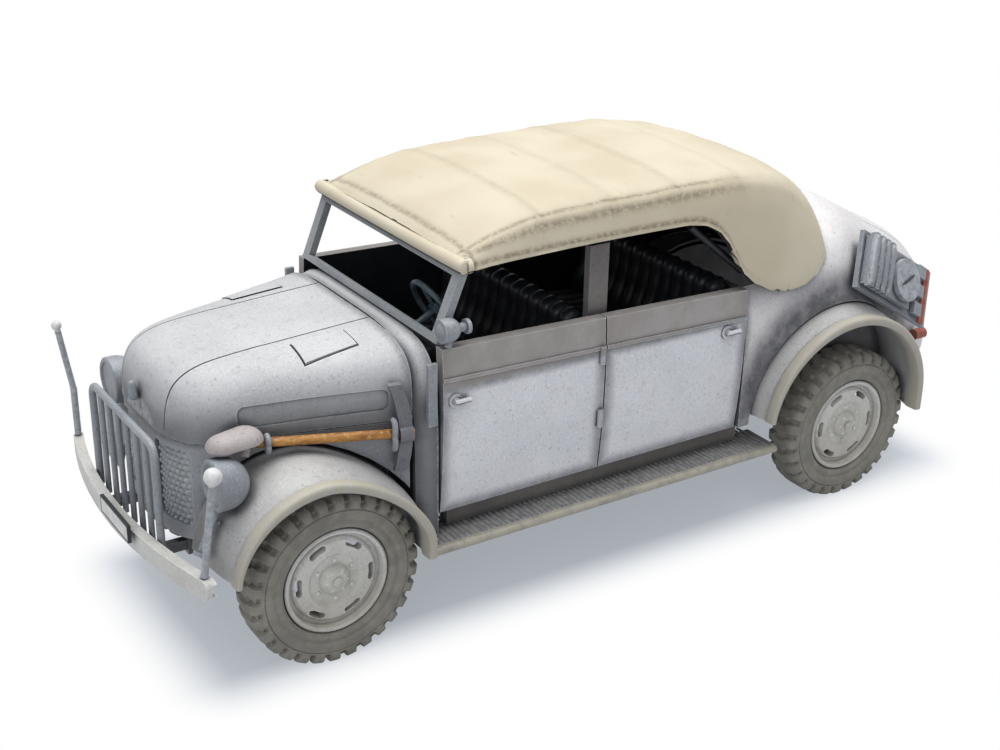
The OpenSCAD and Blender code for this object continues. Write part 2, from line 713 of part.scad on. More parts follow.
module hood_side() {
    lobe_y = wheelbase - 8.4;
    polygon(concat(
        [[hood_front_y - 1, hood_edge], [wheelbase - 17.5, canvas_z(-0.015)],
         [wheelbase - 15.6, canvas_z(0.03)], [wheelbase - 14.2, canvas_z(0.175)],
         [wheelbase - 13.3, canvas_z(0.395)], [wheelbase - 12.6, canvas_z(0.665)],
         [wheelbase - 11.6, canvas_z(0.86)]],
        [for (i = [0 : 6]) let (a = 230 + i * 18)
            [lobe_y + 3.6 + 3.9 * cos(a) - 1.9, hood_low + 1.75 + 1.75 * sin(a)]],
        [[hood_rear_y - 3.3, sill_h + 1.2], [hood_rear_y + 1, sill_h + 1.9],
         [hood_rear_y + 1, roof_h + 10], [hood_front_y - 1, roof_h + 10]]));
}

module canvas_hood() {
    color([0.8, 0.75, 0.6]) place() difference() {
        intersection() {
            hood_loft(0);
            along_x(-30, 30) hood_side();
        }
        // the inside starts behind the front roll, which sits on the windscreen's top
        difference() {
            translate([0, -0.01, 0]) hood_loft(canvas_t);
            block(-hood_hw, hood_hw, hood_front_y - 1, hood_front_y + roll_t, 0, roof_h);
        }
        // keeps the canvas off the rear deck
        loft([for (s = rear_sections) [s[0], s[1] + 0.15, s[2], s[3] + 0.12, s[4]]]);
    }
}

module hood_bows() {
    color("dimgray") place() both_sides() {
        // folding strut seen in the rear side window
        x = tub_hw - 0.35;
        rod([x, door_rear_y - 4.6, hood_edge - 0.5], [x, door_rear_y + 0.6, sill_h + 0.45], 0.28);
    }
}

// ---- inside ----

dash_y = door_front_y + 1.2;     // the dashboard's face

module dashboard() {
    color([0.2, 0.2, 0.2]) place() {
        block(0.65 - tub_hw, tub_hw - 0.65, door_front_y + 0.1, dash_y, sill_h - 3.4, sill_h - 0.2);
        block(1.65 - tub_hw, tub_hw - 1.65, tub_front_y + 0.7 + seat_gap, door_front_y + 0.2,
              sill_h - 3.4, sill_h - 2.9);
    }
}

module steering_wheel() {
    hub = [4.8, door_front_y + 2.9, sill_h + 0.7];
    tilt = 28;
    column = (hub[1] - dash_y - seat_gap) / cos(tilt) - 0.15;
    color([0.15, 0.17, 0.18]) place() {
        translate(hub) rotate([90 + tilt, 0, 0]) {
            rotate_extrude($fn = 64) translate([2.3, 0]) circle(r = 0.2, $fn = 16);
            cylinder(h = 0.4, r = 0.5, center = true, $fn = 32);
            for (a = [90, 210, 330])
                rotate([0, 0, a]) rotate([0, 90, 0]) cylinder(h = 2.3, r = 0.13, $fn = 16);
            cylinder(h = column, r = 0.25, $fn = 24);
        }
    }
}

module bench(y0, y1, back_y, top, seat_z) {
    half_w = tub_hw - 0.95;
    z0 = floor_low + floor_t + seat_gap;
    block(-half_w, half_w, y0, y1, z0, seat_z);
    hull() {
        block(-half_w, half_w, back_y - 1.5, back_y, z0, z0 + 1);
        block(-half_w, half_w, back_y + 0.2, back_y + 1.2, top - 1, top - 0.3);
        along_x(-half_w + 0.2, half_w - 0.2) translate([back_y + 0.7, top - 0.5]) circle(r = 0.5, $fn = 24);
    }
}

module front_seat() {
    color([0.25, 0.23, 0.2]) place() bench(12.6, 18.6, 19.4, sill_h - 0.1, 14.4);
}

module rear_seat() {
    y = tub_rear_y - 2.4;
    color([0.25, 0.23, 0.2]) place() bench(y - 6.6, y, y, sill_h - 0.3, 14.2);
}

// ---- front fittings ----

bumper_r = 45;
bumper_t = 0.35;
bumper_d = 0.7;
bumper_flange = 0.3;
bumper_z = 9.1;
bumper_hw = wing_hw - 0.6;
plate_t = 0.24;
bumper_y = -front_overhang + plate_t + seat_gap;     // the bumper's face on the centre line

function bumper_face(x) = bumper_y + bumper_r - sqrt(bumper_r * bumper_r - x * x);
function bumper_back(x) = bumper_face(x) + bumper_d + seat_gap;

module front_bumper() {
    cy = bumper_y + bumper_r;
    color([0.56, 0.55, 0.48]) place() intersection() {
        difference() {
            translate([0, cy, bumper_z - bumper_h / 2]) cylinder(h = bumper_h, r = bumper_r, $fn = 360);
            translate([0, cy, bumper_z - bumper_h])
                cylinder(h = 2 * bumper_h, r = bumper_r - bumper_d, $fn = 360);
            // hollow back of the channel
            translate([0, cy, bumper_z - bumper_h / 2 + bumper_flange])
                cylinder(h = bumper_h - 2 * bumper_flange, r = bumper_r - bumper_t, $fn = 360);
        }
        along_y(-front_overhang - 2, 0) translate([0, bumper_z]) round_slot(2 * bumper_hw, bumper_h, 0.6);
    }
}

module brush_guard() {
    low = bumper_z - 0.4;
    half_w = 5.65;
    corner = 0.9;
    y = bumper_back(half_w) + guard_bar_r * 1.3;
    pitch = 2 * half_w / (guard_bars - 1);
    color([0.42, 0.45, 0.48]) place() translate([0, y, 0]) {
        rod_x(-half_w + corner, half_w - corner, 0, guard_h, guard_bar_r * 1.3, 24);
        both_sides() translate([half_w - corner, 0, guard_h - corner]) rotate([90, 0, 0])
            rotate_extrude(angle = 90, $fn = 64)
                translate([corner, 0]) circle(r = guard_bar_r * 1.3, $fn = 24);
        for (i = [0 : guard_bars - 1]) {
            x = -half_w + i * pitch;
            edge = i == 0 || i == guard_bars - 1;
            bar_top = edge ? guard_h - corner : guard_h;
            bar_r = edge ? guard_bar_r * 1.3 : guard_bar_r;
            translate([x, 0, low]) cylinder(h = bar_top - low, r = bar_r, $fn = 24);
        }
    }
}

module front_plate() {
    plate_w = 5.0;
    plate_h = 1.25;
    x0 = -0.8;
    z0 = bumper_z + 0.12;
    color("white") place()
        block(x0, x0 + plate_w, -front_overhang, -front_overhang + plate_t, z0, z0 + plate_h);
}

rod_x0 = bumper_hw - 0.7;
rod_foot = bumper_z + bumper_h / 2 + seat_gap;

module width_rod_left() {
    y = bumper_face(rod_x0) + bumper_d / 2;
    color([0.45, 0.42, 0.42]) place() {
        // leans back a little
        rod([rod_x0, y, rod_foot], [rod_x0, y + 0.95, rod_foot + 6.4], 0.24);
        translate([rod_x0, y + 0.97, rod_foot + 6.6]) sphere(r = 0.58, $fn = 32);
    }
}

module width_rod_right() {
    y = bumper_face(rod_x0) + bumper_d / 2;
    kink = [-rod_x0, y, rod_foot + 3.6];
    tip = [-rod_x0, y - 0.75, rod_foot + 8.6];
    color([0.45, 0.48, 0.5]) place() {
        translate([-rod_x0, y, rod_foot]) cylinder(h = 3.6, r = 0.24, $fn = 24);
        translate(kink) sphere(r = 0.24, $fn = 24);
        rod(kink, tip, 0.22);
        translate(tip) sphere(r = 0.36, $fn = 32);
    }
}

lamp_x = 9.15;
lamp_y = -6.9;
lamp_z = 14.55;
lamp_d = 0.6;

module headlight() {
    lens_y = -lamp_d - 0.1;
    color([0.5, 0.52, 0.54]) place() translate([lamp_x, lamp_y, lamp_z]) {
        // pod with a rounded back and a raised ring round its cover, turned about its own axis
        rotate([90, 0, 0]) rotate_extrude($fn = 64) polygon(concat(
            [for (i = [0 : section_steps]) let (a = 90 * i / section_steps)
                [lamp_r * sin(a), -lamp_r * cos(a)]],
            [[lamp_r, -lens_y - 0.1], [lamp_r - 0.12, -lens_y], [lamp_r - 0.32, -lens_y],
             [lamp_r - 0.4, -lens_y - 0.12], [0, -lens_y - 0.08]]));
        // bracket in to the nose
        rod([-0.3, 0.5, 0], [nose_side(lamp_y + 1.0) + 0.2 - lamp_x, 1.0, -0.3], 0.3);
    }
}

module blackout_lamp() {
    dome_r = 1.2;
    z = lamp_z + lamp_r + 0.35;
    color([0.5, 0.47, 0.47]) place() translate([lamp_x - 0.85, lamp_y + 1.2, z]) rotate([0, 0, 8]) {
        // long flattened dome with a flat underside
        intersection() {
            scale([1, 1, 0.72]) hull() {
                translate([0, 0.85, 0]) sphere(r = dome_r, $fn = 32);
                translate([0, -0.7, 0]) sphere(r = dome_r - 0.1, $fn = 32);
            }
            translate([-3, -3, 0]) cube(6);
        }
        // slotted underside and the bracket down to the headlight
        translate([0, -0.8, -0.2]) cylinder(h = 0.3, r = 0.85, $fn = 32);
        rod([0, 1.1, 0.1], [0.3, 0.6, -0.95], 0.3);
    }
}

module horn() {
    color([0.5, 0.52, 0.54]) place() {
        rod([8.95, -7.3, 12.6], [9.5, -8.72, 10.3], 0.26);
        rod([9.48, -8.68, 10.38], [9.53, -8.8, 10.16], 0.48);
        // bracket back to the wing
        rod([9.1, -7.7, 11.9], [9.1, -7.22, 11.9], 0.18);
    }
}

module nose_cap() {
    color([0.3, 0.3, 0.3]) place()
        translate([0, nose_y - 0.28, bonnet_h - 3.4]) hull() {
            sphere(r = 0.35, $fn = 24);
            translate([0, -0.1, 0.8]) sphere(r = 0.25, $fn = 24);
        }
}

module spotlight() {
    c = [scuttle_hw + 0.3, door_front_y + 0.5, sill_h + 1.75];
    color([0.55, 0.57, 0.6]) place() {
        translate(c) {
            sphere(r = 0.8, $fn = 48);
            rotate([90, 0, 0]) cylinder(h = 0.6, r = 0.8, $fn = 48);
            rotate([-90, 0, 0]) cylinder(h = 1.3, r = 0.3, $fn = 24);
            translate([0, 1.25, 0]) rotate([-90, 0, 0]) cylinder(h = 0.25, r = 0.5, $fn = 32);
            translate([0, 0, -1.15]) cylinder(h = 0.6, r = 0.25, $fn = 24);
        }
    }
}

module trafficators() {
    color([0.5, 0.5, 0.52]) place() both_sides()
        block(scuttle_hw + seat_gap, scuttle_hw + 0.35, door_front_y - 1.0, door_front_y - 0.35,
              sill_h - 4.8, sill_h - 0.4);
}

pick_front = [7.8, -3.9, 16.0];
pick_rear = [10.14, 6.15, 15.2];

module pickaxe_handle() {
    color([0.65, 0.42, 0.16]) place() rod(pick_front, pick_rear, handle_r);
}

// a curved head with both arms drawn out to points, and an eye round the handle
module pickaxe_head() {
    d = (pick_rear - pick_front) / norm(pick_rear - pick_front);
    c = pick_front + d * 9.75;
    up = 3.6;
    down = 2.6;
    curve_r = 9.0;
    thick = 0.5;
    color([0.4, 0.41, 0.43]) place() translate(c) rotate([0, 0, -12.5]) {
        difference() {
            union() {
                along_x(-thick / 2, thick / 2) intersection() {
                    difference() {
                        translate([-curve_r + 0.45, 0]) circle(r = curve_r, $fn = 160);
                        translate([-curve_r - 1.15, 0]) circle(r = curve_r + 0.7, $fn = 160);
                    }
                    translate([-3, -down]) square([6, up + down]);
                }
                rotate([90, 0, 0]) cylinder(h = 0.9, r = handle_r + 0.3, center = true, $fn = 32);
            }
            rotate([90, 0, 0]) cylinder(h = 4, r = handle_r + seat_gap, center = true, $fn = 24);
        }
    }
}

// ---- rear fittings ----

// a frame for what is stowed on the left rear wing: X out, Y along, Z up
module stowed() {
    translate([body_hw - 0.95, wheelbase + 4.3, sill_h - 2.9])
        rotate([0, 0, 14]) rotate([0, -20, 0]) rotate([-34, 0, 0]) children();
}

stow_l = 9.8;
stow_h = 4.7;
stow_t = 0.4;

module stowage_can() {
    color([0.45, 0.45, 0.47]) place() stowed() {
        front = -stow_l / 2 + 0.3;
        face = stow_t / 2 + seat_gap;
        block(face, face + 0.5, front, 1.6, -stow_h / 2 + 0.4, stow_h / 2 - 0.4);
        for (i = [0 : 3])
            block(face + 0.4, face + 0.95, front + i * 0.75, front + 0.48 + i * 0.75,
                  -stow_h / 2 + 0.2, stow_h / 2 - 0.2);
        rod_x(face + 0.3, face + 1.0, 0.35, 0, 1.7, 64);
    }
}

module stowage_board() {
    color([0.42, 0.42, 0.44]) place() stowed() {
        block(-stow_t / 2, stow_t / 2, -stow_l / 2, stow_l / 2, -stow_h / 2, stow_h / 2);
        // three cleats beside the can
        for (z = [-1.45, 0.1, 1.65])
            block(0, stow_t / 2 + 0.5, 2.5, 3.5, z - 0.5, z + 0.5);
    }
}

module tail_lamps() {
    color([0.5, 0.15, 0.1]) place() both_sides()
        translate([8.95, wheelbase + 8.4, 11.6]) rotate([-90, 0, 0]) cylinder(h = 1.1, r = 0.45, $fn = 32);
}

chassis_frame();
gearbox();
exhaust();
front_axle();
rear_axle();
leaf_springs();
tow_hook();
tyre(front_axle_y);  // tyre_front_left
mirror([1, 0, 0]) tyre(front_axle_y);  // tyre_front_right
tyre(rear_axle_y);  // tyre_rear_left
mirror([1, 0, 0]) tyre(rear_axle_y);  // tyre_rear_right
wheel(front_axle_y);  // wheel_front_left
mirror([1, 0, 0]) wheel(front_axle_y);  // wheel_front_right
wheel(rear_axle_y);  // wheel_rear_left
mirror([1, 0, 0]) wheel(rear_axle_y);  // wheel_rear_right
body_tub();
nose_panel();
bonnet();
scuttle();
rear_body();
boot_lid();
color([0.66, 0.66, 0.7]) place() front_door();  // front_door_left
color([0.66, 0.66, 0.7]) mirror([1, 0, 0]) place() front_door();  // front_door_right
color([0.66, 0.66, 0.7]) place() rear_door();  // rear_door_left
color([0.66, 0.66, 0.7]) mirror([1, 0, 0]) place() rear_door();  // rear_door_right
color([0.6, 0.6, 0.6]) place() front_wing();  // front_wing_left
color([0.6, 0.6, 0.6]) mirror([1, 0, 0]) place() front_wing();  // front_wing_right
color([0.6, 0.6, 0.6]) place() rear_wing();  // rear_wing_left
color([0.6, 0.6, 0.6]) mirror([1, 0, 0]) place() rear_wing();  // rear_wing_right
running_board();  // running_board_left
mirror([1, 0, 0]) running_board();  // running_board_right
windscreen_frame();
canvas_hood();
hood_bows();
dashboard();
steering_wheel();
front_seat();
rear_seat();
front_bumper();
brush_guard();
front_plate();
width_rod_left();
width_rod_right();
headlight();  // headlight_left
mirror([1, 0, 0]) headlight();  // headlight_right
blackout_lamp();
horn();
nose_cap();
spotlight();
trafficators();
pickaxe_handle();
pickaxe_head();
stowage_can();
stowage_board();
tail_lamps();
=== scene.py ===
"""Looks of the 1:72 field car model: painted shells, moulded tyres and seats, canvas hood, studio."""

import math
from collections import namedtuple
from math import cos, pi, radians, sin

import bmesh
import bpy
from mathutils import Euler, Matrix, Vector

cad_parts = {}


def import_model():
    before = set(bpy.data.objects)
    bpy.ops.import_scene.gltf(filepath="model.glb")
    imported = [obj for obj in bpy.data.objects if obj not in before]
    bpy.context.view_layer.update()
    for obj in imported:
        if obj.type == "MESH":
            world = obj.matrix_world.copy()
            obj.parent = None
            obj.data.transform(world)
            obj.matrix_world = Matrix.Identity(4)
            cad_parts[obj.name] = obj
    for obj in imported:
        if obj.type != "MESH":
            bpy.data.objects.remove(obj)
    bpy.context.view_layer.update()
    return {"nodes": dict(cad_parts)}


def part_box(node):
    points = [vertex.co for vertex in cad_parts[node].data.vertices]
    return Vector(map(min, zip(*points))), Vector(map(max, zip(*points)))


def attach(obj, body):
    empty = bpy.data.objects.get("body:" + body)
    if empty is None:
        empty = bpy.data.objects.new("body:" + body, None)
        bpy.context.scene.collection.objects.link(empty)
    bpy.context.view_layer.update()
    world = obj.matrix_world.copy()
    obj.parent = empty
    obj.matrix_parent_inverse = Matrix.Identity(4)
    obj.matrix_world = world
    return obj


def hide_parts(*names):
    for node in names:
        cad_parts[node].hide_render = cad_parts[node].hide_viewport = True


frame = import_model()
MM = 0.001


# ---- sizes, in millimetres from the front axle, as the CAD draws them ----

def box_mm(node):
    low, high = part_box(node)
    return low / MM, high / MM


tyre_low, tyre_high = box_mm("tyre_front_left")
door_low, door_high = box_mm("front_door_left")
bonnet_low, bonnet_high = box_mm("bonnet")
AXLE_Y = (tyre_low.y + tyre_high.y) / 2
WHEELBASE = sum(corner.y for corner in box_mm("tyre_rear_left")) / 2 - AXLE_Y
TYRE_R = tyre_high.z / 2
TYRE_W = tyre_high.x - tyre_low.x
HALF_TRACK = (tyre_low.x + tyre_high.x) / 2
RIM_R = box_mm("wheel_front_left")[1].z - TYRE_R
WING_HW = box_mm("rear_wing_left")[1].x
BODY_HW = box_mm("scuttle")[1].x + 0.35
TUB_HW = BODY_HW - 1.35
ROOF_H = box_mm("canvas_hood")[1].z
TAIL_Y = box_mm("rear_body")[1].y - AXLE_Y
BOARD_TOP = box_mm("running_board_left")[0].z + 0.6
SILL_H = door_high.z - 0.4
DOOR_LOW = door_low.z
BONNET_LOW = bonnet_low.z
BONNET_H = bonnet_high.z - 0.25
NOSE_Y = -8.6
BONNET_END_Y = 6.4
DOOR_FRONT_Y = 8.0
DOOR_REAR_Y = WHEELBASE - 11.6
DOOR_MID_Y = door_high.y - AXLE_Y + 0.06
SHELL_T = 0.8
SKY = 40
SEAT_GAP = 0.06

# centre, reach in front and behind, height, and squareness in front and behind of a wing's lip
Wing = namedtuple("Wing", "y z front rear height n_front n_rear")
FRONT_WING = Wing(-1.4, 8.2, 6.5, 7.9, 6.3, 2, 1.62)
REAR_WING = Wing(WHEELBASE - 2.1, 8.6, 8.1, 8.2, 7.8, 2, 2)
WING_CROWN = 0.75
WING_T = 0.5
WALL_X = (6.9, 7.5)


def row(x, y, z):
    """A point drawn from the front axle in millimetres, in the row frame in metres."""
    return Vector((x * MM, (y + AXLE_Y) * MM, z * MM))


def both(*names):
    """The left and right node of each name."""
    return [f"{name}_{hand}" for name in names for hand in ("left", "right")]


def turns(count):
    """Angles of equal steps round a circle."""
    return [2 * pi * i / count for i in range(count)]


# ---- mesh helpers ----

def assign(thing, **settings):
    for key, value in settings.items():
        setattr(thing, key, value)
    return thing


def link(name, data):
    piece = bpy.data.objects.new(name, data)
    bpy.context.scene.collection.objects.link(piece)
    return piece


def solid(name, points, faces):
    """An object from points in millimetres, with its normals outwards."""
    mesh = bpy.data.meshes.new(name)
    mesh.from_pydata([row(*p) for p in points], [], faces)
    work = bmesh.new()
    work.from_mesh(mesh)
    bmesh.ops.recalc_face_normals(work, faces=work.faces)
    work.to_mesh(mesh)
    work.free()
    return link(name, mesh)


def dress(piece, material, stands_for=(), angle=32, body="root"):
    """Gives a piece its material, smoothing and body, and hides the CAD nodes that it replaces."""
    mesh = piece.data
    mesh.materials.clear()
    mesh.materials.append(material)
    mesh.shade_smooth()
    mesh.set_sharp_from_angle(angle=radians(angle))
    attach(piece, body)
    if stands_for:
        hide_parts(*stands_for)


def rings_to_solid(name, rings, closed=False):
    """Skins equal rings of points. The first and last ring are capped unless the rings join up."""
    count = len(rings[0])
    points = [p for ring in rings for p in ring]
    faces = []
    for i in range(len(rings) if closed else len(rings) - 1):
        a = i * count
        b = ((i + 1) % len(rings)) * count
        for j in range(count):
            k = (j + 1) % count
            faces.append((a + j, a + k, b + k, b + j))
    if not closed:
        faces.append(tuple(range(count)))
        faces.append(tuple(range(len(points) - count, len(points))))
    return solid(name, points, faces)


def block(x0, x1, y0, y1, z0, z1):
    ring = [(x0, z0), (x1, z0), (x1, z1), (x0, z1)]
    return rings_to_solid("block", [[(x, y, z) for x, z in ring] for y in (y0, y1)])


def prism_x(outline, x0, x1):
    """An outline of (y, z) points, drawn out along X."""
    return rings_to_solid("prism", [[(x, y, z) for y, z in outline] for x in (x0, x1)])


def combine(piece, operation, other, keep=False):
    """Boolean of two closed meshes. The result stays in piece."""
    assign(piece.modifiers.new("combined", "BOOLEAN"), operation=operation, solver="MANIFOLD", object=other)
    graph = bpy.context.evaluated_depsgraph_get()
    made = bpy.data.meshes.new_from_object(piece.evaluated_get(graph))
    piece.modifiers.clear()
    piece.data = made
    if not keep:
        bpy.data.objects.remove(other)


def cut(piece, *others):
    for other in others:
        combine(piece, "DIFFERENCE", other)


def catmull(values, t):
    """Smooth curve through tuples, t from 0 to len(values) - 1."""
    i = min(int(t), len(values) - 2)
    f = t - i
    near = (values[max(i - 1, 0)], values[i], values[i + 1], values[min(i + 2, len(values) - 1)])
    return tuple(
        0.5 * (2 * b + (c - a) * f + (2 * a - 5 * b + 4 * c - d) * f * f + (3 * b - a - 3 * c + d) * f ** 3)
        for a, b, c, d in zip(*near))


def spread(values, steps):
    """values resampled to a smooth curve with that many steps between neighbours."""
    last = len(values) - 1
    return [catmull(values, min(i / steps, last)) for i in range(last * steps + 1)]


def on_line(line, place, ease=0.0):
    """Height of a line of (place, height) points at a place, partly eased between them."""
    for (start, low), (end, high) in zip(line, line[1:]):
        if place <= end:
            f = (place - start) / (end - start)
            return low + (high - low) * (f + (f * f * (3 - 2 * f) - f) * ease)
    return line[-1][1]


def power(value, exponent):
    return math.copysign(abs(value) ** exponent, value)


def arch(hw, low, top, n, steps):
    """Half a superellipse standing on z = low, from +X over the top to -X."""
    angles = [pi * i / steps for i in range(steps + 1)]
    return [(hw * power(cos(a), 2 / n), low + (top - low) * abs(sin(a)) ** (2 / n)) for a in angles]


def loft(stations, name="loft", arch_steps=56, grow=0.0, y0=0.0, y1=0.0):
    """A closed form through stations of (y, half width, low, top, squareness), grown outwards by grow."""
    rings = []
    fine = spread(stations, 6)
    for i, (y, hw, low, top, n) in enumerate(fine):
        y += y0 if i == 0 else y1 if i == len(fine) - 1 else 0
        section = arch(hw + grow, low + min(2 * grow, 0), top + grow, n, arch_steps)
        rings.append([(x, y, z) for x, z in section])
    return rings_to_solid(name, rings)


def tube(name, path, radius, sides=10):
    """A round tube along points in millimetres, of one radius or a list of them."""
    rings = []
    side = None
    for i, place in enumerate(path):
        along = (Vector(path[min(i + 1, len(path) - 1)]) - Vector(path[max(i - 1, 0)])).normalized()
        if side is None:
            side = along.orthogonal()
        side = (side - along * side.dot(along)).normalized()
        up = along.cross(side)
        r = radius[i] if isinstance(radius, list) else radius
        rings.append([tuple(Vector(place) + r * (cos(a) * side + sin(a) * up)) for a in turns(sides)])
    return rings_to_solid(name, rings)


def joined(name, parts):
    """Several objects joined as one piece."""
    work = bmesh.new()
    for part in parts:
        work.from_mesh(part.data)
        bpy.data.objects.remove(part)
    mesh = bpy.data.meshes.new(name)
    work.to_mesh(mesh)
    work.free()
    return link(name, mesh)


def mirrored(name, piece):
    """A copy of piece on the other side of the model."""
    mesh = piece.data.copy()
    mesh.transform(Matrix.Scale(-1, 4, (1, 0, 0)))
    mesh.flip_normals()
    return link(name, mesh)


# ---- materials ----

class Nodes:
    """Short calls for a node tree. Textures run in object space, so they stay on a turning wheel."""

    def __init__(self, name, kind="materials"):
        self.owner = getattr(bpy.data, kind).new(name)
        self.owner.use_nodes = True
        self.tree = self.owner.node_tree
        self.tree.nodes.clear()

    def put(self, socket, value):
        if isinstance(value, bpy.types.NodeSocket):
            self.tree.links.new(value, socket)
        elif socket.type == "RGBA":
            socket.default_value = (*value, 1)
        else:
            socket.default_value = value

    def add(self, kind, inputs=(), **settings):
        """A node with its settings, and its inputs as pairs of socket and value."""
        node = assign(self.tree.nodes.new("ShaderNode" + kind), **settings)
        for socket, value in inputs:
            self.put(node.inputs[socket], value)
        return node

    def noise(self, size_mm, detail, rough, stretch=(1, 1, 1)):
        place = self.add("Mapping", [
            ("Vector", self.add("TexCoord").outputs["Object"]),
            ("Scale", [s / (size_mm * MM) for s in stretch])])
        return self.add("TexNoise", [("Vector", place.outputs[0]), ("Scale", 1.0), ("Detail", detail),
                                     ("Roughness", rough)]).outputs["Fac"]

    def ramp(self, value, low, high, from_value=0.0, to_value=1.0):
        inputs = enumerate((value, low, high, from_value, to_value))
        return self.add("MapRange", inputs, interpolation_type="SMOOTHSTEP").outputs["Result"]

    def cloud(self, size_mm, detail, rough, low, high, from_value=0.0, to_value=1.0, stretch=(1, 1, 1)):
        """Noise with its stretch from low to high spread over two values."""
        return self.ramp(self.noise(size_mm, detail, rough, stretch), low, high, from_value, to_value)

    def math(self, operation, a, b=0.0):
        return self.add("Math", [(0, a), (1, b)], operation=operation).outputs[0]

    def times(self, a, b):
        return self.math("MULTIPLY", a, b)

    def most(self, value, *others):
        for other in others:
            value = self.math("MAXIMUM", value, other)
        return value

    def mix(self, factor, a, b):
        return self.add("Mix", [("Factor", factor), ("A", a), ("B", b)],
                        data_type="RGBA").outputs["Result"]

    def crevice(self, reach_mm, low=0.45, high=0.95, inside=False):
        """1 in corners and shut lines, 0 on open surfaces."""
        node = self.add("AmbientOcclusion", [("Distance", reach_mm * MM)], samples=6, inside=inside)
        return self.ramp(node.outputs["AO"], low, high, 1.0, 0.0)

    def edge(self, reach_mm):
        """1 on outside edges, 0 elsewhere."""
        return self.crevice(reach_mm, 0.4, 0.8, inside=True)

    def xyz(self, source="Object"):
        """X, Y and Z of the place, or of the surface's direction where the source is Normal."""
        return self.add("SeparateXYZ", [(0, self.add("TexCoord").outputs[source])]).outputs

    def shell_inside(self, x, sideways, downwards):
        """1 on faces that look towards the middle or down by more than those shares, 0 elsewhere."""
        normal = self.xyz("Normal")
        outwards = self.times(normal["X"], self.math("SIGN", x))
        return self.most(self.math("LESS_THAN", outwards, -sideways),
                         self.math("LESS_THAN", normal["Z"], -downwards))

    def end(self, shader, kind="OutputMaterial"):
        self.add(kind, [(0, shader)])
        return self.owner

    def finish(self, color, roughness, bumps, specular=0.35):
        """The finished material, with bumps as pairs of height and depth in millimetres."""
        normal = None
        for height, depth_mm in bumps:
            node = self.add("Bump", [("Strength", 1.0), ("Distance", depth_mm * MM), ("Height", height)])
            if normal is not None:
                self.put(node.inputs["Normal"], normal)
            normal = node.outputs[0]
        return self.end(self.add("BsdfPrincipled", [
            ("Base Color", color), ("Roughness", roughness), ("Specular IOR Level", specular),
            ("Normal", normal)]).outputs[0])


DUST = (0.36, 0.335, 0.27)
CREVICE_WASH_AND_SHADE = (0.035, 0.038, 0.048)
SOFT_PAINTED_SHADE = (0.075, 0.077, 0.09)
LOW_WASH_AND_SHADE = (0.11, 0.115, 0.125)
BELT_FILM = (0.25, 0.228, 0.208)
INWARD_PAINTED_SHADE = (0.01, 0.012, 0.016)


def soft_shades(n, seams, arch, under):
    """Painted shade: soft dark lines along seams, round a wheel arch, on top of a wing."""
    x, y, z = n.xyz()
    shades = []
    for axis, place, width in seams:
        along, start = {"y": (y, AXLE_Y), "z": (z, 0)}[axis]
        distance = n.math("ABSOLUTE", n.math("SUBTRACT", along, (place + start) * MM))
        shades.append(n.ramp(distance, width * MM, 0.0, 0.0, 0.75))
    if arch:
        centre_y, centre_z, radius = arch
        from_y = n.math("SUBTRACT", y, (centre_y + AXLE_Y) * MM)
        from_z = n.math("SUBTRACT", z, centre_z * MM)
        away = n.math("SQRT", n.math("ADD", n.times(from_y, from_y), n.times(from_z, from_z)))
        shades.append(n.ramp(away, radius * MM, (radius - 2.4) * MM, 0.0, 0.97))
    if under:
        shades.append(n.ramp(n.math("ABSOLUTE", x), under * MM, (under - 2.4) * MM, 0.0, 0.7))
    return shades


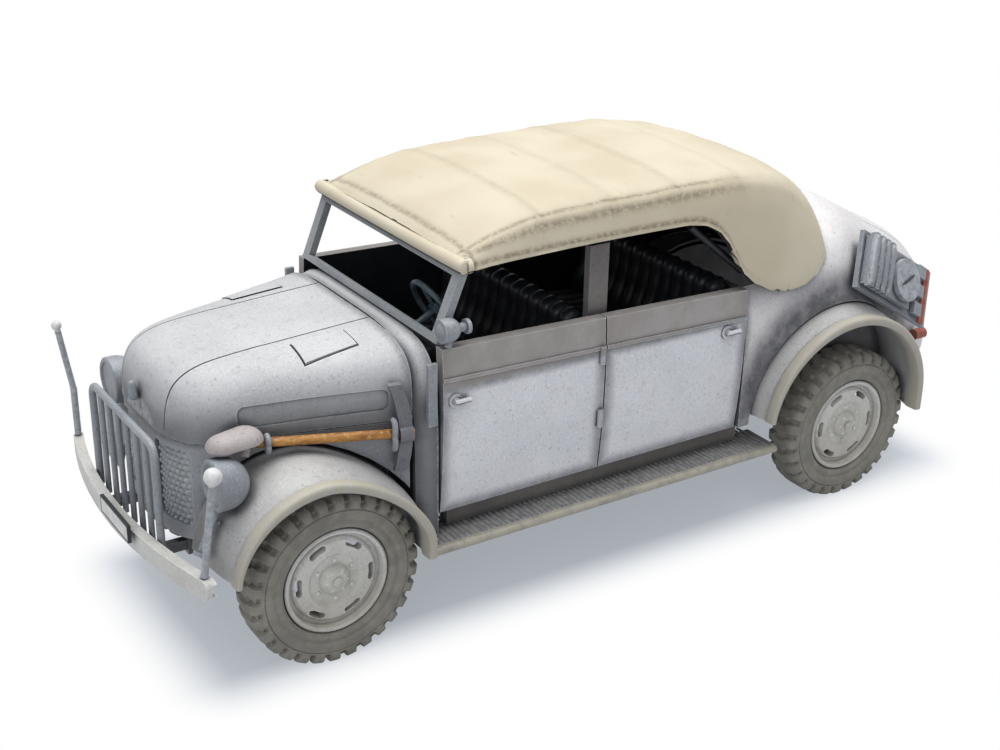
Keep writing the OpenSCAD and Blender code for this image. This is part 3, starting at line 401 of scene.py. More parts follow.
def painted(name, base, light, dust=0.15, dust_top=8.0, wash=0.85, wear=0.45, roughness=0.5, wash_reach=0.8,
            band=None, grime_and_shade=None, lip=None, shell=False, seams=(), arch=None, under=None):
    """Hand-painted plastic: cloudy coat, fine grain, dark wash with painted shade in the recesses, rubbed
    edges, dust low down.

    band is two heights with a brown film between them; grime is a height above which the film ends, and
    its strength, the film being dark wash with painted shade on the lower sides; lip is the |x| beyond which
    dust covers the paint; shell paints shade, near black, on faces that look inwards or down; seams are
    (axis, place, width) of soft dark lines of painted shade; arch is a (y, z, radius) with painted shade
    inside it; under is the |x| inside which painted shade covers a wing's crown.
    """
    n = Nodes(name)
    x, _, z = n.xyz()
    grain = n.noise(0.13, 2, 0.7)
    color = n.mix(n.cloud(5.0, 2, 0.5, 0.3, 0.7), base, light)
    color = n.mix(n.ramp(grain, 0.5, 0.72, 0.0, 0.6), color, [min(0.9, c * 1.3) for c in light])
    color = n.mix(n.cloud(0.24, 2, 0.6, 0.42, 0.3, 0.0, 0.4), color, [c * 0.45 for c in base])
    color = n.mix(n.cloud(0.9, 4, 0.7, 0.55, 0.7, 0.0, 0.3), color, [c * 0.72 for c in base])
    # dark wash with painted shade: below the given height the sides darken downwards
    if grime_and_shade:
        height, strength = grime_and_shade
        film = n.ramp(z, height * MM, (height - 3.5) * MM, 0.0, strength)
        color = n.mix(n.times(film, n.cloud(1.6, 3, 0.6, 0.3, 0.65, 0.9, 1.0)), color, LOW_WASH_AND_SHADE)
    shades = soft_shades(n, seams, arch, under)
    # painted shade along the seams, round the arch and on the wing's crown
    if shades:
        color = n.mix(n.times(n.most(*shades), n.cloud(1.1, 3, 0.6, 0.3, 0.7, 0.75, 1.0)), color, SOFT_PAINTED_SHADE)
    if band:
        low, high = band
        above = n.ramp(z, (low - 0.3) * MM, low * MM)
        inside = n.times(above, n.ramp(z, high * MM, (high + 0.3) * MM, 1.0, 0.0))
        color = n.mix(n.times(inside, n.cloud(2.0, 3, 0.6, 0.3, 0.65, 0.82, 0.94)), color, BELT_FILM)
    film = n.cloud(2.6, 5, 0.6, 0.45, 0.68, 0.0, dust)
    film = n.math("ADD", n.ramp(z, dust_top * MM, 3.0 * MM, 0.0, 0.55), film)
    if lip:
        beyond = n.ramp(n.math("ABSOLUTE", x), (lip - 0.08) * MM, lip * MM)
        film = n.math("ADD", film, n.times(beyond, n.cloud(0.9, 4, 0.65, 0.3, 0.6, 0.45, 0.9)))
    color = n.mix(n.math("MINIMUM", film, 0.92), color, DUST)
    # dark wash with painted shade in the recesses, found by occlusion
    streaks = n.times(n.cloud(1.0, 3, 0.6, 0.3, 0.7, 0.8, 1.0), wash)
    color = n.mix(n.times(n.crevice(wash_reach), streaks), color, CREVICE_WASH_AND_SHADE)
    worn = n.times(n.edge(0.14), n.cloud(0.5, 3, 0.7, 0.35, 0.6, 0.15, 1.0))
    color = n.mix(n.times(worn, wear), color, [min(0.85, c * 1.35 + 0.06) for c in light])
    # painted shade: faces that look inwards or down turn near black
    if shell:
        color = n.mix(n.shell_inside(x, 0.25, 0.3), color, INWARD_PAINTED_SHADE)
    gloss = n.cloud(1.5, 3, 0.6, 0.3, 0.7, roughness - 0.07, roughness + 0.12)
    return n.finish(color, gloss, [(grain, 0.009), (n.noise(0.7, 2, 0.5), 0.003)], 0.5)


def canvas_paint():
    """Sand-coloured hood: brown wash along seams and hem, dark brown wash with painted shade in its creases,
    cream highlights on the ridges, near-black painted shade on the faces that look inwards or down, faint
    weave.
    """
    n = Nodes("hood_canvas")
    base = n.mix(n.cloud(6.0, 2, 0.5, 0.3, 0.7), (0.5, 0.44, 0.325), (0.56, 0.505, 0.39))
    streak = n.cloud(0.5, 4, 0.65, 0.54, 0.7, 0.0, 0.25, (0.14, 1, 1))
    base = n.mix(streak, base, (0.55, 0.5, 0.39))
    grime_and_shade = n.cloud(0.8, 5, 0.7, 0.6, 0.76, 0.0, 0.3, (0.3, 1, 1))
    base = n.mix(grime_and_shade, base, (0.29, 0.235, 0.15))
    painted_wash = n.add("Attribute", attribute_name="wash").outputs["Fac"]
    wash = n.times(painted_wash, n.cloud(0.4, 5, 0.75, 0.34, 0.6, 0.3, 1.0))
    base = n.mix(n.times(wash, 0.9), base, (0.12, 0.085, 0.048))
    # dark brown wash with painted shade in the creases
    base = n.mix(n.times(n.crevice(0.45), 0.6), base, (0.15, 0.105, 0.06))
    worn = n.times(n.edge(0.2), n.cloud(0.4, 3, 0.7, 0.35, 0.6))
    base = n.mix(n.times(worn, 0.45), base, (0.6, 0.55, 0.43))
    # painted shade: faces that look inwards or down, under the hood, turn near black
    base = n.mix(n.shell_inside(n.xyz()["X"], 0.1, 0.45), base, (0.03, 0.028, 0.022))
    fibre = n.cloud(0.07, 2, 0.5, 0.3, 0.7, stretch=(1, 3, 1))
    return n.finish(base, 0.66, [(fibre, 0.004), (n.noise(0.9, 3, 0.5, (0.25, 1, 1)), 0.009)])


def tyre_rubber():
    n = Nodes("tyre_rubber")
    base = n.mix(n.cloud(2.0, 4, 0.6, 0.35, 0.65), (0.19, 0.183, 0.16), (0.25, 0.24, 0.21))
    dust = n.math("ADD", n.cloud(0.8, 5, 0.7, 0.45, 0.7, 0.0, 0.6), 0.12)
    base = n.mix(dust, base, (0.3, 0.285, 0.235))
    # painted shade in the tread's grooves
    base = n.mix(n.times(n.crevice(0.3, 0.3, 0.8), 0.55), base, (0.08, 0.077, 0.068))
    base = n.mix(n.times(n.edge(0.14), 0.4), base, (0.38, 0.36, 0.3))
    return n.finish(base, 0.82, [(n.noise(0.15, 3, 0.7), 0.015)], 0.25)


def wood_paint():
    n = Nodes("handle_paint")
    streak = n.cloud(0.5, 4, 0.7, 0.35, 0.65, stretch=(1, 0.12, 1))
    base = n.mix(streak, (0.22, 0.085, 0.02), (0.42, 0.2, 0.05))
    base = n.mix(n.cloud(0.35, 3, 0.7, 0.52, 0.64, 0.0, 0.8), base, (0.55, 0.32, 0.1))
    # painted shade in the handle's creases
    base = n.mix(n.times(n.crevice(0.4), 0.8), base, (0.08, 0.04, 0.02))
    return n.finish(base, 0.45, [(streak, 0.01)], 0.4)


def dark_moulding(name, dark, light, roughness=0.4):
    """Satin dark paint with the cabin's shade painted into it: near black, with its raised edges a little
    lighter.
    """
    n = Nodes(name)
    base = n.mix(n.cloud(1.5, 4, 0.6, 0.35, 0.65), dark, light)
    base = n.mix(n.times(n.edge(0.2), 0.4), base, [c * 3 + 0.02 for c in light])
    return n.finish(base, roughness, [(n.noise(0.25, 3, 0.6), 0.015)], 0.4)


def plate_paint():
    """White plate with a black rim, left blank."""
    n = Nodes("plate_paint")
    low, high = box_mm("front_plate")
    rim = 0.13
    x, _, z = n.xyz()
    inner = 1.0
    for place, start, end in ((x, low.x, high.x), (z, low.z, high.z)):
        inner = n.times(inner, n.math("GREATER_THAN", place, (start + rim) * MM))
        inner = n.times(inner, n.math("LESS_THAN", place, (end - rim) * MM))
    white = n.mix(n.cloud(0.7, 4, 0.6, 0.4, 0.65, 0.0, 0.5), (0.66, 0.66, 0.64), (0.48, 0.47, 0.44))
    return n.finish(n.mix(inner, (0.03, 0.03, 0.035), white), 0.55, [(n.noise(0.3, 3, 0.6), 0.006)])


def rod_paint():
    """Grey rods with white heads."""
    n = Nodes("rod_paint")
    x, _, z = n.xyz()
    heads = []
    for hand, side, length in (("left", "GREATER_THAN", 1.15), ("right", "LESS_THAN", 0.75)):
        top = box_mm(f"width_rod_{hand}")[1].z
        heads.append(n.times(n.math(side, x, 0.0), n.math("GREATER_THAN", z, (top - length) * MM)))
    grey = n.mix(n.cloud(0.4, 3, 0.6, 0.4, 0.7), (0.26, 0.28, 0.3), (0.4, 0.41, 0.43))
    white = n.mix(n.cloud(0.4, 3, 0.6, 0.4, 0.7), (0.62, 0.62, 0.61), (0.5, 0.5, 0.49))
    base = n.mix(n.most(*heads), grey, white)
    # dark wash with painted shade in the recesses
    base = n.mix(n.times(n.crevice(0.3), 0.6), base, CREVICE_WASH_AND_SHADE)
    return n.finish(base, 0.4, [(n.noise(0.3, 3, 0.6), 0.01)], 0.4)


def red_paint():
    n = Nodes("lamp_red")
    base = n.mix(n.cloud(0.5, 4, 0.65, 0.35, 0.65), (0.22, 0.055, 0.035), (0.34, 0.11, 0.075))
    base = n.mix(n.times(n.edge(0.12), 0.4), base, (0.42, 0.24, 0.2))
    return n.finish(base, 0.5, [(n.noise(0.3, 3, 0.6), 0.008)])


# seams, arch and under place soft painted shade: along shut lines, before the rear wing, on the wings' crowns
# next to the body
BODY = painted("body_paint", (0.565, 0.55, 0.555), (0.62, 0.605, 0.61), dust=0.05, shell=True,
               seams=(("y", DOOR_REAR_Y, 0.9),), arch=(REAR_WING.y, REAR_WING.z, 11.7))
# the bonnet's sides darken towards the bottom, dark wash with painted shade
BONNET = painted("bonnet_paint", (0.4, 0.405, 0.415), (0.45, 0.455, 0.465), dust=0.04, shell=True,
                 grime_and_shade=(19.6, 0.85), seams=(("y", BONNET_END_Y + 0.06, 0.8), ("y", DOOR_FRONT_Y, 0.7)))
NOSE = painted("nose_paint", (0.22, 0.23, 0.25), (0.29, 0.3, 0.32), dust=0.12,
               seams=(("z", BONNET_LOW, 0.6),))
DOORS = painted("door_paint", (0.6, 0.6, 0.63), (0.66, 0.66, 0.69), dust=0.04, shell=True,
                band=(SILL_H - 2.3, SILL_H + 2),
                seams=(("y", DOOR_FRONT_Y, 1.1), ("y", DOOR_MID_Y, 1.2), ("y", DOOR_REAR_Y, 1.1),
                       ("z", DOOR_LOW, 1.0), ("z", SILL_H - 2.5, 0.7)))
WINGS = painted("wing_paint", (0.35, 0.345, 0.345), (0.4, 0.395, 0.39), dust=0.1, dust_top=11.0,
                lip=WING_HW - 0.95, under=9.6)
FITTINGS = painted("fittings_paint", (0.19, 0.205, 0.23), (0.27, 0.285, 0.31), dust=0.1, wear=0.7,
                   dust_top=6.0, wash_reach=0.4, roughness=0.42)
SCREEN = painted("screen_paint", (0.21, 0.225, 0.24), (0.29, 0.3, 0.31), dust=0.08, wear=0.6, wash_reach=0.4)
TOOL = painted("tool_paint", (0.09, 0.095, 0.11), (0.14, 0.145, 0.16), dust=0.05, wear=0.5, wash_reach=0.3)
BLACKOUT = painted("blackout_paint", (0.27, 0.235, 0.235), (0.35, 0.315, 0.31), dust=0.05, wear=0.4,
                   wash_reach=0.4)
BUMPER = painted("bumper_paint", (0.5, 0.5, 0.475), (0.56, 0.555, 0.53), dust=0.25, dust_top=10.0)
BOARDS = painted("board_paint", (0.13, 0.13, 0.135), (0.19, 0.19, 0.19), dust=0.25, dust_top=6.0,
                 lip=WING_HW - 1.5, wear=0.8)
POSTS = painted("post_paint", (0.1, 0.092, 0.088), (0.15, 0.138, 0.13), dust=0.05, dust_top=9.0)
CHASSIS = painted("chassis_paint", (0.06, 0.062, 0.066), (0.1, 0.1, 0.105), dust=0.2)
WHEEL = painted("wheel_paint", (0.6, 0.59, 0.56), (0.66, 0.65, 0.62), dust=0.3, dust_top=11.0,
                wash_reach=0.35, wash=0.7, wear=0.6)
MESH = painted("mesh_paint", (0.32, 0.335, 0.36), (0.42, 0.435, 0.45), wash=1.0, wash_reach=0.3, wear=0.9)
CANVAS = canvas_paint()
RUBBER = tyre_rubber()
WOOD = wood_paint()
# near black: dark paint with the shade of the covered cabin painted in
INTERIOR = dark_moulding("interior_paint", (0.008, 0.009, 0.011), (0.02, 0.022, 0.026), 0.5)
SEATS = dark_moulding("seat_paint", (0.006, 0.007, 0.009), (0.014, 0.015, 0.018))
STEERING = dark_moulding("steering_paint", (0.02, 0.035, 0.045), (0.05, 0.075, 0.09))
PLATE = plate_paint()
WHITE = rod_paint()
RED = red_paint()

FINISHES = {
    BODY: ["rear_body", "boot_lid"],
    BONNET: ["bonnet", "scuttle"],
    NOSE: ["nose_panel"],
    DOORS: both("front_door", "rear_door"),
    WINGS: both("front_wing", "rear_wing"),
    FITTINGS: both("headlight") + ["brush_guard", "horn", "nose_cap", "spotlight", "trafficators",
                                   "stowage_can", "stowage_board"],
    BLACKOUT: ["blackout_lamp"],
    TOOL: ["pickaxe_head"],
    SCREEN: ["windscreen_frame"],
    BUMPER: ["front_bumper"],
    BOARDS: both("running_board"),
    POSTS: ["body_tub"],
    CHASSIS: ["chassis_frame", "gearbox", "exhaust", "front_axle", "rear_axle", "leaf_springs", "tow_hook"],
    WHEEL: both("wheel_front", "wheel_rear"),
    RUBBER: both("tyre_front", "tyre_rear"),
    CANVAS: ["canvas_hood"],
    INTERIOR: ["hood_bows", "dashboard"],
    STEERING: ["steering_wheel"],
    SEATS: ["front_seat", "rear_seat"],
    PLATE: ["front_plate"],
    WHITE: both("width_rod"),
    WOOD: ["pickaxe_handle"],
    RED: ["tail_lamps"],
}


def smoothing_group():
    """Geometry nodes that weld a CAD mesh and shade it smooth across its shallow edges."""
    group = bpy.data.node_groups.new("smooth_shallow_edges", "GeometryNodeTree")
    for way in ("INPUT", "OUTPUT"):
        group.interface.new_socket("Geometry", in_out=way, socket_type="NodeSocketGeometry")
    chain = [group.nodes.new(kind) for kind in (
        "NodeGroupInput", "GeometryNodeRemoveAttribute", "GeometryNodeMergeByDistance",
        "GeometryNodeSetShadeSmooth", "GeometryNodeSetShadeSmooth", "NodeGroupOutput")]
    for before, after in zip(chain, chain[1:]):
        group.links.new(before.outputs[0], after.inputs[0])
    _, drop, weld, _, sharp, _ = chain
    drop.inputs["Name"].default_value = "custom_normal"
    weld.inputs["Distance"].default_value = 0.002 * MM
    sharp.domain = "EDGE"
    sharp.inputs["Shade Smooth"].default_value = False
    angle = group.nodes.new("GeometryNodeInputMeshEdgeAngle")
    steep = group.nodes.new("ShaderNodeMath")
    steep.operation = "GREATER_THAN"
    steep.inputs[1].default_value = radians(28)
    group.links.new(angle.outputs["Unsigned Angle"], steep.inputs[0])
    group.links.new(steep.outputs[0], sharp.inputs["Selection"])
    return group


SMOOTH = smoothing_group()
for material, names in FINISHES.items():
    for node_name in names:
        cad = frame["nodes"][node_name]
        cad.data.materials.clear()
        cad.data.materials.append(material)
        cad.modifiers.new("smooth", "NODES").node_group = SMOOTH


# ---- body shells ----

BONNET_STATIONS = [
    (NOSE_Y + 0.02, 1.6, BONNET_LOW, BONNET_H - 4.3, 2.4),
    (NOSE_Y + 0.15, 3.4, BONNET_LOW, BONNET_H - 2.9, 2.6),
    (NOSE_Y + 0.6, 4.7, BONNET_LOW, BONNET_H - 1.5, 2.8),
    (NOSE_Y + 1.5, 5.9, BONNET_LOW, BONNET_H - 0.75, 3.0),
    (NOSE_Y + 3.1, 6.7, BONNET_LOW, BONNET_H - 0.3, 3.3),
    (NOSE_Y + 6.0, 7.3, BONNET_LOW, BONNET_H - 0.1, 3.7),
    (0.5, 7.95, BONNET_LOW, BONNET_H, 4.0),
    (BONNET_END_Y, 9.5, BONNET_LOW, BONNET_H + 0.25, 4.6)]
SEAM_X = 3.75
SEAM_HW = 0.06
CREASE = 0.13
LID_X = (SEAM_X + 0.85, SEAM_X + 2.9)
LID_Y = (0.2, 4.0)
LID_RISE = 0.07


def rounded(width, height, r, steps=6):
    """Outline of a rectangle with rounded corners, about the origin."""
    points = []
    for k, (cx, cy) in enumerate(((1, 1), (-1, 1), (-1, -1), (1, -1))):
        for a in (radians(90 * (k + i / steps)) for i in range(steps + 1)):
            points.append((cx * (width / 2 - r) + r * cos(a), cy * (height / 2 - r) + r * sin(a)))
    return points


def lid_block(side, grow, z0, z1):
    """An upright block over a bonnet lid, grown sideways."""
    x0, x1 = sorted((side * (LID_X[0] - grow), side * (LID_X[1] + grow)))
    return block(x0, x1, LID_Y[0] - grow, LID_Y[1] + grow, z0, z1)


def bonnet():
    """The bonnet, with its long seams, raised lids and sunk louvre panels."""
    shell = loft(BONNET_STATIONS, "bonnet_shell")
    lids = loft(BONNET_STATIONS, "lids", grow=LID_RISE)
    combine(lids, "INTERSECT", joined("lids", [lid_block(s, 0, BONNET_H - 2, BONNET_H + 2) for s in (1, -1)]))
    combine(shell, "UNION", lids)
    louvre = [(y + 0.1, z + 17.45) for y, z in rounded(9.6, 1.45, 0.5)]
    cuts = []
    for s in (1, -1):
        groove = lid_block(s, 0.07, BONNET_H - 2, SKY)
        cut(groove, lid_block(s, -0.05, BONNET_H - 3, SKY + 1))
        x = s * SEAM_X
        seam = block(x - SEAM_HW, x + SEAM_HW, NOSE_Y - 1, BONNET_END_Y + 1, BONNET_LOW + 0.4, SKY)
        cuts += [prism_x(louvre, s * (SEAM_X + 2), s * 12), groove, seam]
    cutters = joined("cutters", cuts)
    cut(cutters, loft(BONNET_STATIONS, "core", grow=-CREASE, y0=CREASE, y1=1))
    cut(shell, cutters, loft(BONNET_STATIONS, "inside", grow=-SHELL_T, y0=SHELL_T, y1=1))
    dress(shell, BONNET, ["bonnet"])


SCUTTLE_STATIONS = [
    (BONNET_END_Y + 0.12, 9.65, BOARD_TOP + SEAT_GAP, BONNET_H + 0.3, 4.8),
    (DOOR_FRONT_Y - 0.06, BODY_HW - 0.35, BOARD_TOP + SEAT_GAP, SILL_H + 0.5, 7.0)]


def scuttle():
    shell = loft(SCUTTLE_STATIONS, "scuttle_shell", 72)
    cut(shell, loft(SCUTTLE_STATIONS, "inside", 72, grow=-SHELL_T, y0=-1, y1=1),
        block(-9.35, 9.35, 0, DOOR_FRONT_Y + 1, -1, 13))
    dress(shell, BONNET, ["scuttle"])


REAR_STATIONS = [
    (DOOR_REAR_Y + 0.12, BODY_HW - 0.1, DOOR_LOW, SILL_H - 0.1, 8),
    (WHEELBASE - 6, BODY_HW - 0.1, DOOR_LOW, SILL_H + 0.5, 7),
    (WHEELBASE + 0.6, BODY_HW - 0.3, DOOR_LOW, SILL_H + 2.8, 3.6),
    (WHEELBASE + 6.0, BODY_HW - 1.3, DOOR_LOW, SILL_H + 0.6, 3.0),
    (WHEELBASE + 10.4, BODY_HW - 2.9, DOOR_LOW, SILL_H - 1.6, 2.8),
    (WHEELBASE + 13.0, BODY_HW - 4.6, DOOR_LOW + 0.6, SILL_H - 3.9, 2.6),
    (TAIL_Y, BODY_HW - 6.6, DOOR_LOW + 1.2, SILL_H - 6.5, 2.4)]
BOOT_Y = (WHEELBASE + 4.6, WHEELBASE + 11.6)
BOOT_HW = 4.6
BOOT_LOW = SILL_H - 5.5
BOOT_GAP = 0.12
CABIN_END_Y = WHEELBASE - 4.4


def wing_point(wing, offset, degrees):
    """A point (y, z) on a wing's outline, offset outwards, at an angle from 0 at the back to 180 in front."""
    if degrees > 90:
        reach, n = wing.front + offset * 0.6, wing.n_front
    else:
        reach, n = wing.rear + offset, wing.n_rear
    a = radians(degrees)
    return wing.y + reach * power(cos(a), 2 / n), wing.z + (wing.height + offset) * abs(sin(a)) ** (2 / n)


def wing_outline(wing, offset, steps=60):
    """The outline of a wing, closed below the floor."""
    curve = [wing_point(wing, offset, 180 * i / steps) for i in range(steps + 1)]
    return [(curve[0][0], -1)] + curve + [(curve[-1][0], -1)]


def rear_body():
    """The rounded tail with its wheel arches and the boot lid in it."""
    shell = loft(REAR_STATIONS, "rear_body_shell", 72)
    inside = loft(REAR_STATIONS, "inside", 72, grow=-SHELL_T, y0=-1, y1=-SHELL_T)
    y0, y1 = BOOT_Y
    lid = loft(REAR_STATIONS, "boot_lid_panel", 72)
    combine(lid, "INTERSECT", block(BOOT_GAP - BOOT_HW, BOOT_HW - BOOT_GAP, y0 + BOOT_GAP, y1 - BOOT_GAP,
                                    BOOT_LOW + BOOT_GAP, SKY))
    combine(lid, "DIFFERENCE", inside, keep=True)
    arches = [prism_x(wing_outline(REAR_WING, WING_CROWN - 0.3), s * 6.84, s * 20) for s in (1, -1)]
    cut(shell, inside, block(-TUB_HW, TUB_HW, DOOR_REAR_Y - 1, CABIN_END_Y, SILL_H - 3, SKY),
        block(-30, 30, DOOR_REAR_Y - 1, CABIN_END_Y - 0.8, SILL_H + 0.35, SKY), joined("arches", arches),
        block(-BOOT_HW, BOOT_HW, y0, y1, BOOT_LOW, SKY))
    dress(lid, BODY, ["boot_lid"])
    dress(shell, BODY, ["rear_body"])


# ---- wings: a rolled section swept over the wheel ----

def lip_profile(x_inner):
    """Section of a wing as (x, offset) points: crowned skin, step, flat lip with a rolled edge, inside."""
    x_outer = WING_HW
    lip_x = x_outer - 0.95
    crown = [(0, 1), (0.2, 0.985), (0.4, 0.93), (0.55, 0.85), (0.68, 0.72), (0.8, 0.53), (0.9, 0.3),
             (0.97, 0.1)]
    outer = [(x_inner + (lip_x - x_inner) * f, WING_CROWN * k - 0.25) for f, k in crown]
    lip = [(lip_x + 0.02, -0.1), (lip_x + 0.1, -0.02), (lip_x + 0.35, 0.0), (x_outer - 0.2, -0.02),
           (x_outer - 0.07, -0.1), (x_outer, -0.24), (x_outer, -0.5), (x_outer - 0.07, -0.64),
           (x_outer - 0.2, -0.7), (lip_x + 0.1, -0.72)]
    return outer + lip + [(x, k - WING_T) for x, k in reversed(outer)]


def swept_wing(name, wing, profile, z_front, steps=72):
    """The profile carried over the wheel, from the running board at the back to z_front in front."""
    rings = [[(x, wing_point(wing, offset, 0)[0], BOARD_TOP + SEAT_GAP) for x, offset in profile]]
    for i in range(steps):
        ring = []
        for x, offset in profile:
            rise = (z_front - wing.z) / (wing.height + offset)
            last = 180 - math.degrees(math.asin(rise ** (wing.n_front / 2)))
            y, z = wing_point(wing, offset, last * i / (steps - 1))
            ring.append((x, y, z))
        rings.append(ring)
    return rings_to_solid(name, rings)


def rear_wheelhouse(hole_r=3.2):
    """Flat wall between the rear wheel and the body, open round the axle."""
    x0, x1 = WALL_X
    wall = prism_x(wing_outline(REAR_WING, 0.3), x0, x1)
    hole = [(WHEELBASE + hole_r * cos(a), TYRE_R + 0.4 + hole_r * sin(a)) for a in turns(40)]
    cut(wall, prism_x(hole, x0 - 1, x1 + 1), block(x0 - 1, x1 + 1, -20, 70, -5, 9.2))
    return wall


def wings():
    front = swept_wing("skin", FRONT_WING, lip_profile(6.5), 9.0)
    rear = swept_wing("skin", REAR_WING, lip_profile(WALL_X[0]), 9.5)
    for end, parts in (("front", [front]), ("rear", [rear, rear_wheelhouse()])):
        left = joined(f"{end}_wing_skin_left", parts)
        right = mirrored(f"{end}_wing_skin_right", left)
        dress(left, WINGS, [f"{end}_wing_left"])
        dress(right, WINGS, [f"{end}_wing_right"])


bonnet()
scuttle()
rear_body()
wings()


# ---- hood ----

HOOD_HW = BODY_HW + 0.35
HOOD_FRONT_Y = 9.9
HOOD_EDGE = SILL_H + 5.2
HOOD_LOW = SILL_H - 1.5
# half a cross section as shares of the half width and the height, in the cabin and at the front
HOOD_SHAPE = [
    (1, 0), (0.985, 0.2), (0.96, 0.42), (0.925, 0.64), (0.9, 0.77), (0.865, 0.875),
    (0.8, 0.94), (0.7, 0.965), (0.52, 0.985), (0.28, 0.997), (0, 1)]
HOOD_FRONT_SHAPE = [
    (1, 0), (0.99, 0.3), (0.98, 0.6), (0.965, 0.8), (0.94, 0.905), (0.9, 0.945),
    (0.8, 0.965), (0.65, 0.98), (0.45, 0.99), (0.2, 0.998), (0, 1)]
# y, half width, top, share of the flat front section, share of the round rear section
HOOD_STATIONS = [
    (HOOD_FRONT_Y, HOOD_HW - 0.1, HOOD_EDGE + 0.95, 1, 0),
    (HOOD_FRONT_Y + 2.2, HOOD_HW, ROOF_H - 1.2, 0.2, 0),
    (HOOD_FRONT_Y + 6.5, HOOD_HW, ROOF_H - 0.2, 0, 0),
    (WHEELBASE - 20, HOOD_HW, ROOF_H, 0, 0),
    (WHEELBASE - 13, HOOD_HW, ROOF_H - 0.05, 0, 0),
    (WHEELBASE - 8.6, HOOD_HW - 0.05, ROOF_H - 0.6, 0, 0.1),
    (WHEELBASE - 6.2, HOOD_HW - 0.25, ROOF_H - 1.4, 0, 0.3),
    (WHEELBASE - 4.0, HOOD_HW - 0.7, ROOF_H - 2.5, 0, 0.6),
    (WHEELBASE - 3.0, HOOD_HW - 1.3, ROOF_H - 3.15, 0, 0.8),
    (WHEELBASE - 2.0, HOOD_HW - 2.6, ROOF_H - 3.9, 0, 1),
    (WHEELBASE - 1.3, HOOD_HW - 4.1, ROOF_H - 4.35, 0, 1),
    (WHEELBASE - 0.4, HOOD_HW - 6.2, ROOF_H - 5.0, 0, 1),
    (WHEELBASE + 1.2, HOOD_HW - 9.4, ROOF_H - 6.2, 0, 1)]
# side view of the lower edge behind the rear door, as y from the rear axle and z above the sill
QUARTER_EDGE = [
    (-17.5, 5.3), (-15.8, 5.05), (-14.6, 4.45), (-13.75, 3.5), (-13.1, 2.3), (-12.3, 0.9), (-11.2, 0.0),
    (-9.7, -0.75), (-8.0, -1.1), (-6.2, -1.05), (-4.9, -0.65), (-4.2, -0.15), (-3.4, 0.3)]
DECK = spread(REAR_STATIONS, 8)
BOWS = [HOOD_FRONT_Y + 0.3, HOOD_FRONT_Y + 6.0, HOOD_FRONT_Y + 11.8, HOOD_FRONT_Y + 17.4, WHEELBASE - 12.6,
        WHEELBASE - 8.6]


def within(value):
    """The value kept from 0 to 1."""
    return max(0.0, min(1.0, value))


def bell(distance, width):
    """1 at no distance, falling off smoothly over the width."""
    return math.exp(-(distance / width) ** 2)


def hood_low_edge(y):
    """Height of the canvas's lower edge at the side."""
    quarter_y = WHEELBASE + QUARTER_EDGE[0][0]
    if y < quarter_y:
        f = (y - HOOD_FRONT_Y) / (quarter_y - HOOD_FRONT_Y)
        return HOOD_EDGE + 0.1 * f + 0.12 * sin(pi * f)
    return SILL_H + on_line(QUARTER_EDGE, y - WHEELBASE, 0.3)


def deck_height(x, y):
    """Height of the rear deck under a point of the hood."""
    if y < WHEELBASE - 6:
        return 0.0
    a, b = min(zip(DECK, DECK[1:]), key=lambda pair: abs((pair[0][0] + pair[1][0]) / 2 - y))
    f = within((y - a[0]) / (b[0] - a[0]))
    _, hw, low, top, n = (p + (q - p) * f for p, q in zip(a, b))
    if abs(x) >= hw:
        return 0.0
    return low + (top - low) * (1 - (abs(x) / hw) ** n) ** (1 / n)


def hood_sag(y):
    """Height of the cloth above or below the plain shape: it hangs a little between the bows."""
    sag = sum(0.05 * sin(pi * (y - a) / (b - a)) ** 0.8 for a, b in zip(BOWS, BOWS[1:]) if a <= y < b)
    return sum(0.03 * bell(y - bow, 0.22) for bow in BOWS[1:]) - sag


def hood_half(y, hw, top, flat, round_share):
    """Half a cross section, from the left lower edge up to the crown."""
    shape = []
    rest = 1 - flat - round_share
    for i, (cabin, front) in enumerate(zip(HOOD_SHAPE, HOOD_FRONT_SHAPE)):
        a = radians(9.0 * i)
        shape.append(tuple(c * rest + f * flat + r * round_share
                           for c, f, r in zip(cabin, front, (cos(a), sin(a)))))
    line = [(hw * a, HOOD_LOW + (top - HOOD_LOW) * b) for a, b in spread(shape, 8)]
    low = hood_low_edge(y)
    first = 0
    while first < len(line) - 2 and line[first][1] < max(low, deck_height(line[first][0], y) + 0.1):
        first += 1
    if first:
        (xa, za), (xb, zb) = line[first - 1], line[first]
        f = within((max(low, deck_height(xa, y) + 0.1) - za) / (zb - za)) if zb > za else 0
        line = [(xa + (xb - xa) * f, za + (zb - za) * f)] + line[first:]
    return line


def hood_column(station, steps):
    """Evenly spaced points over a cross section from its left edge to its right, and half its length."""
    line = hood_half(*station)
    lengths = [0.0]
    for p, q in zip(line, line[1:]):
        lengths.append(lengths[-1] + math.dist(p, q))
    made = []
    k = 0
    for i in range(steps + 1):
        goal = lengths[-1] * i / steps
        while k < len(line) - 2 and lengths[k + 1] < goal:
            k += 1
        f = (goal - lengths[k]) / max(lengths[k + 1] - lengths[k], 1e-6)
        made.append(tuple(a + (b - a) * f for a, b in zip(line[k], line[k + 1])))
    return made + [(-x, z) for x, z in reversed(made[:-1])], lengths[-1]


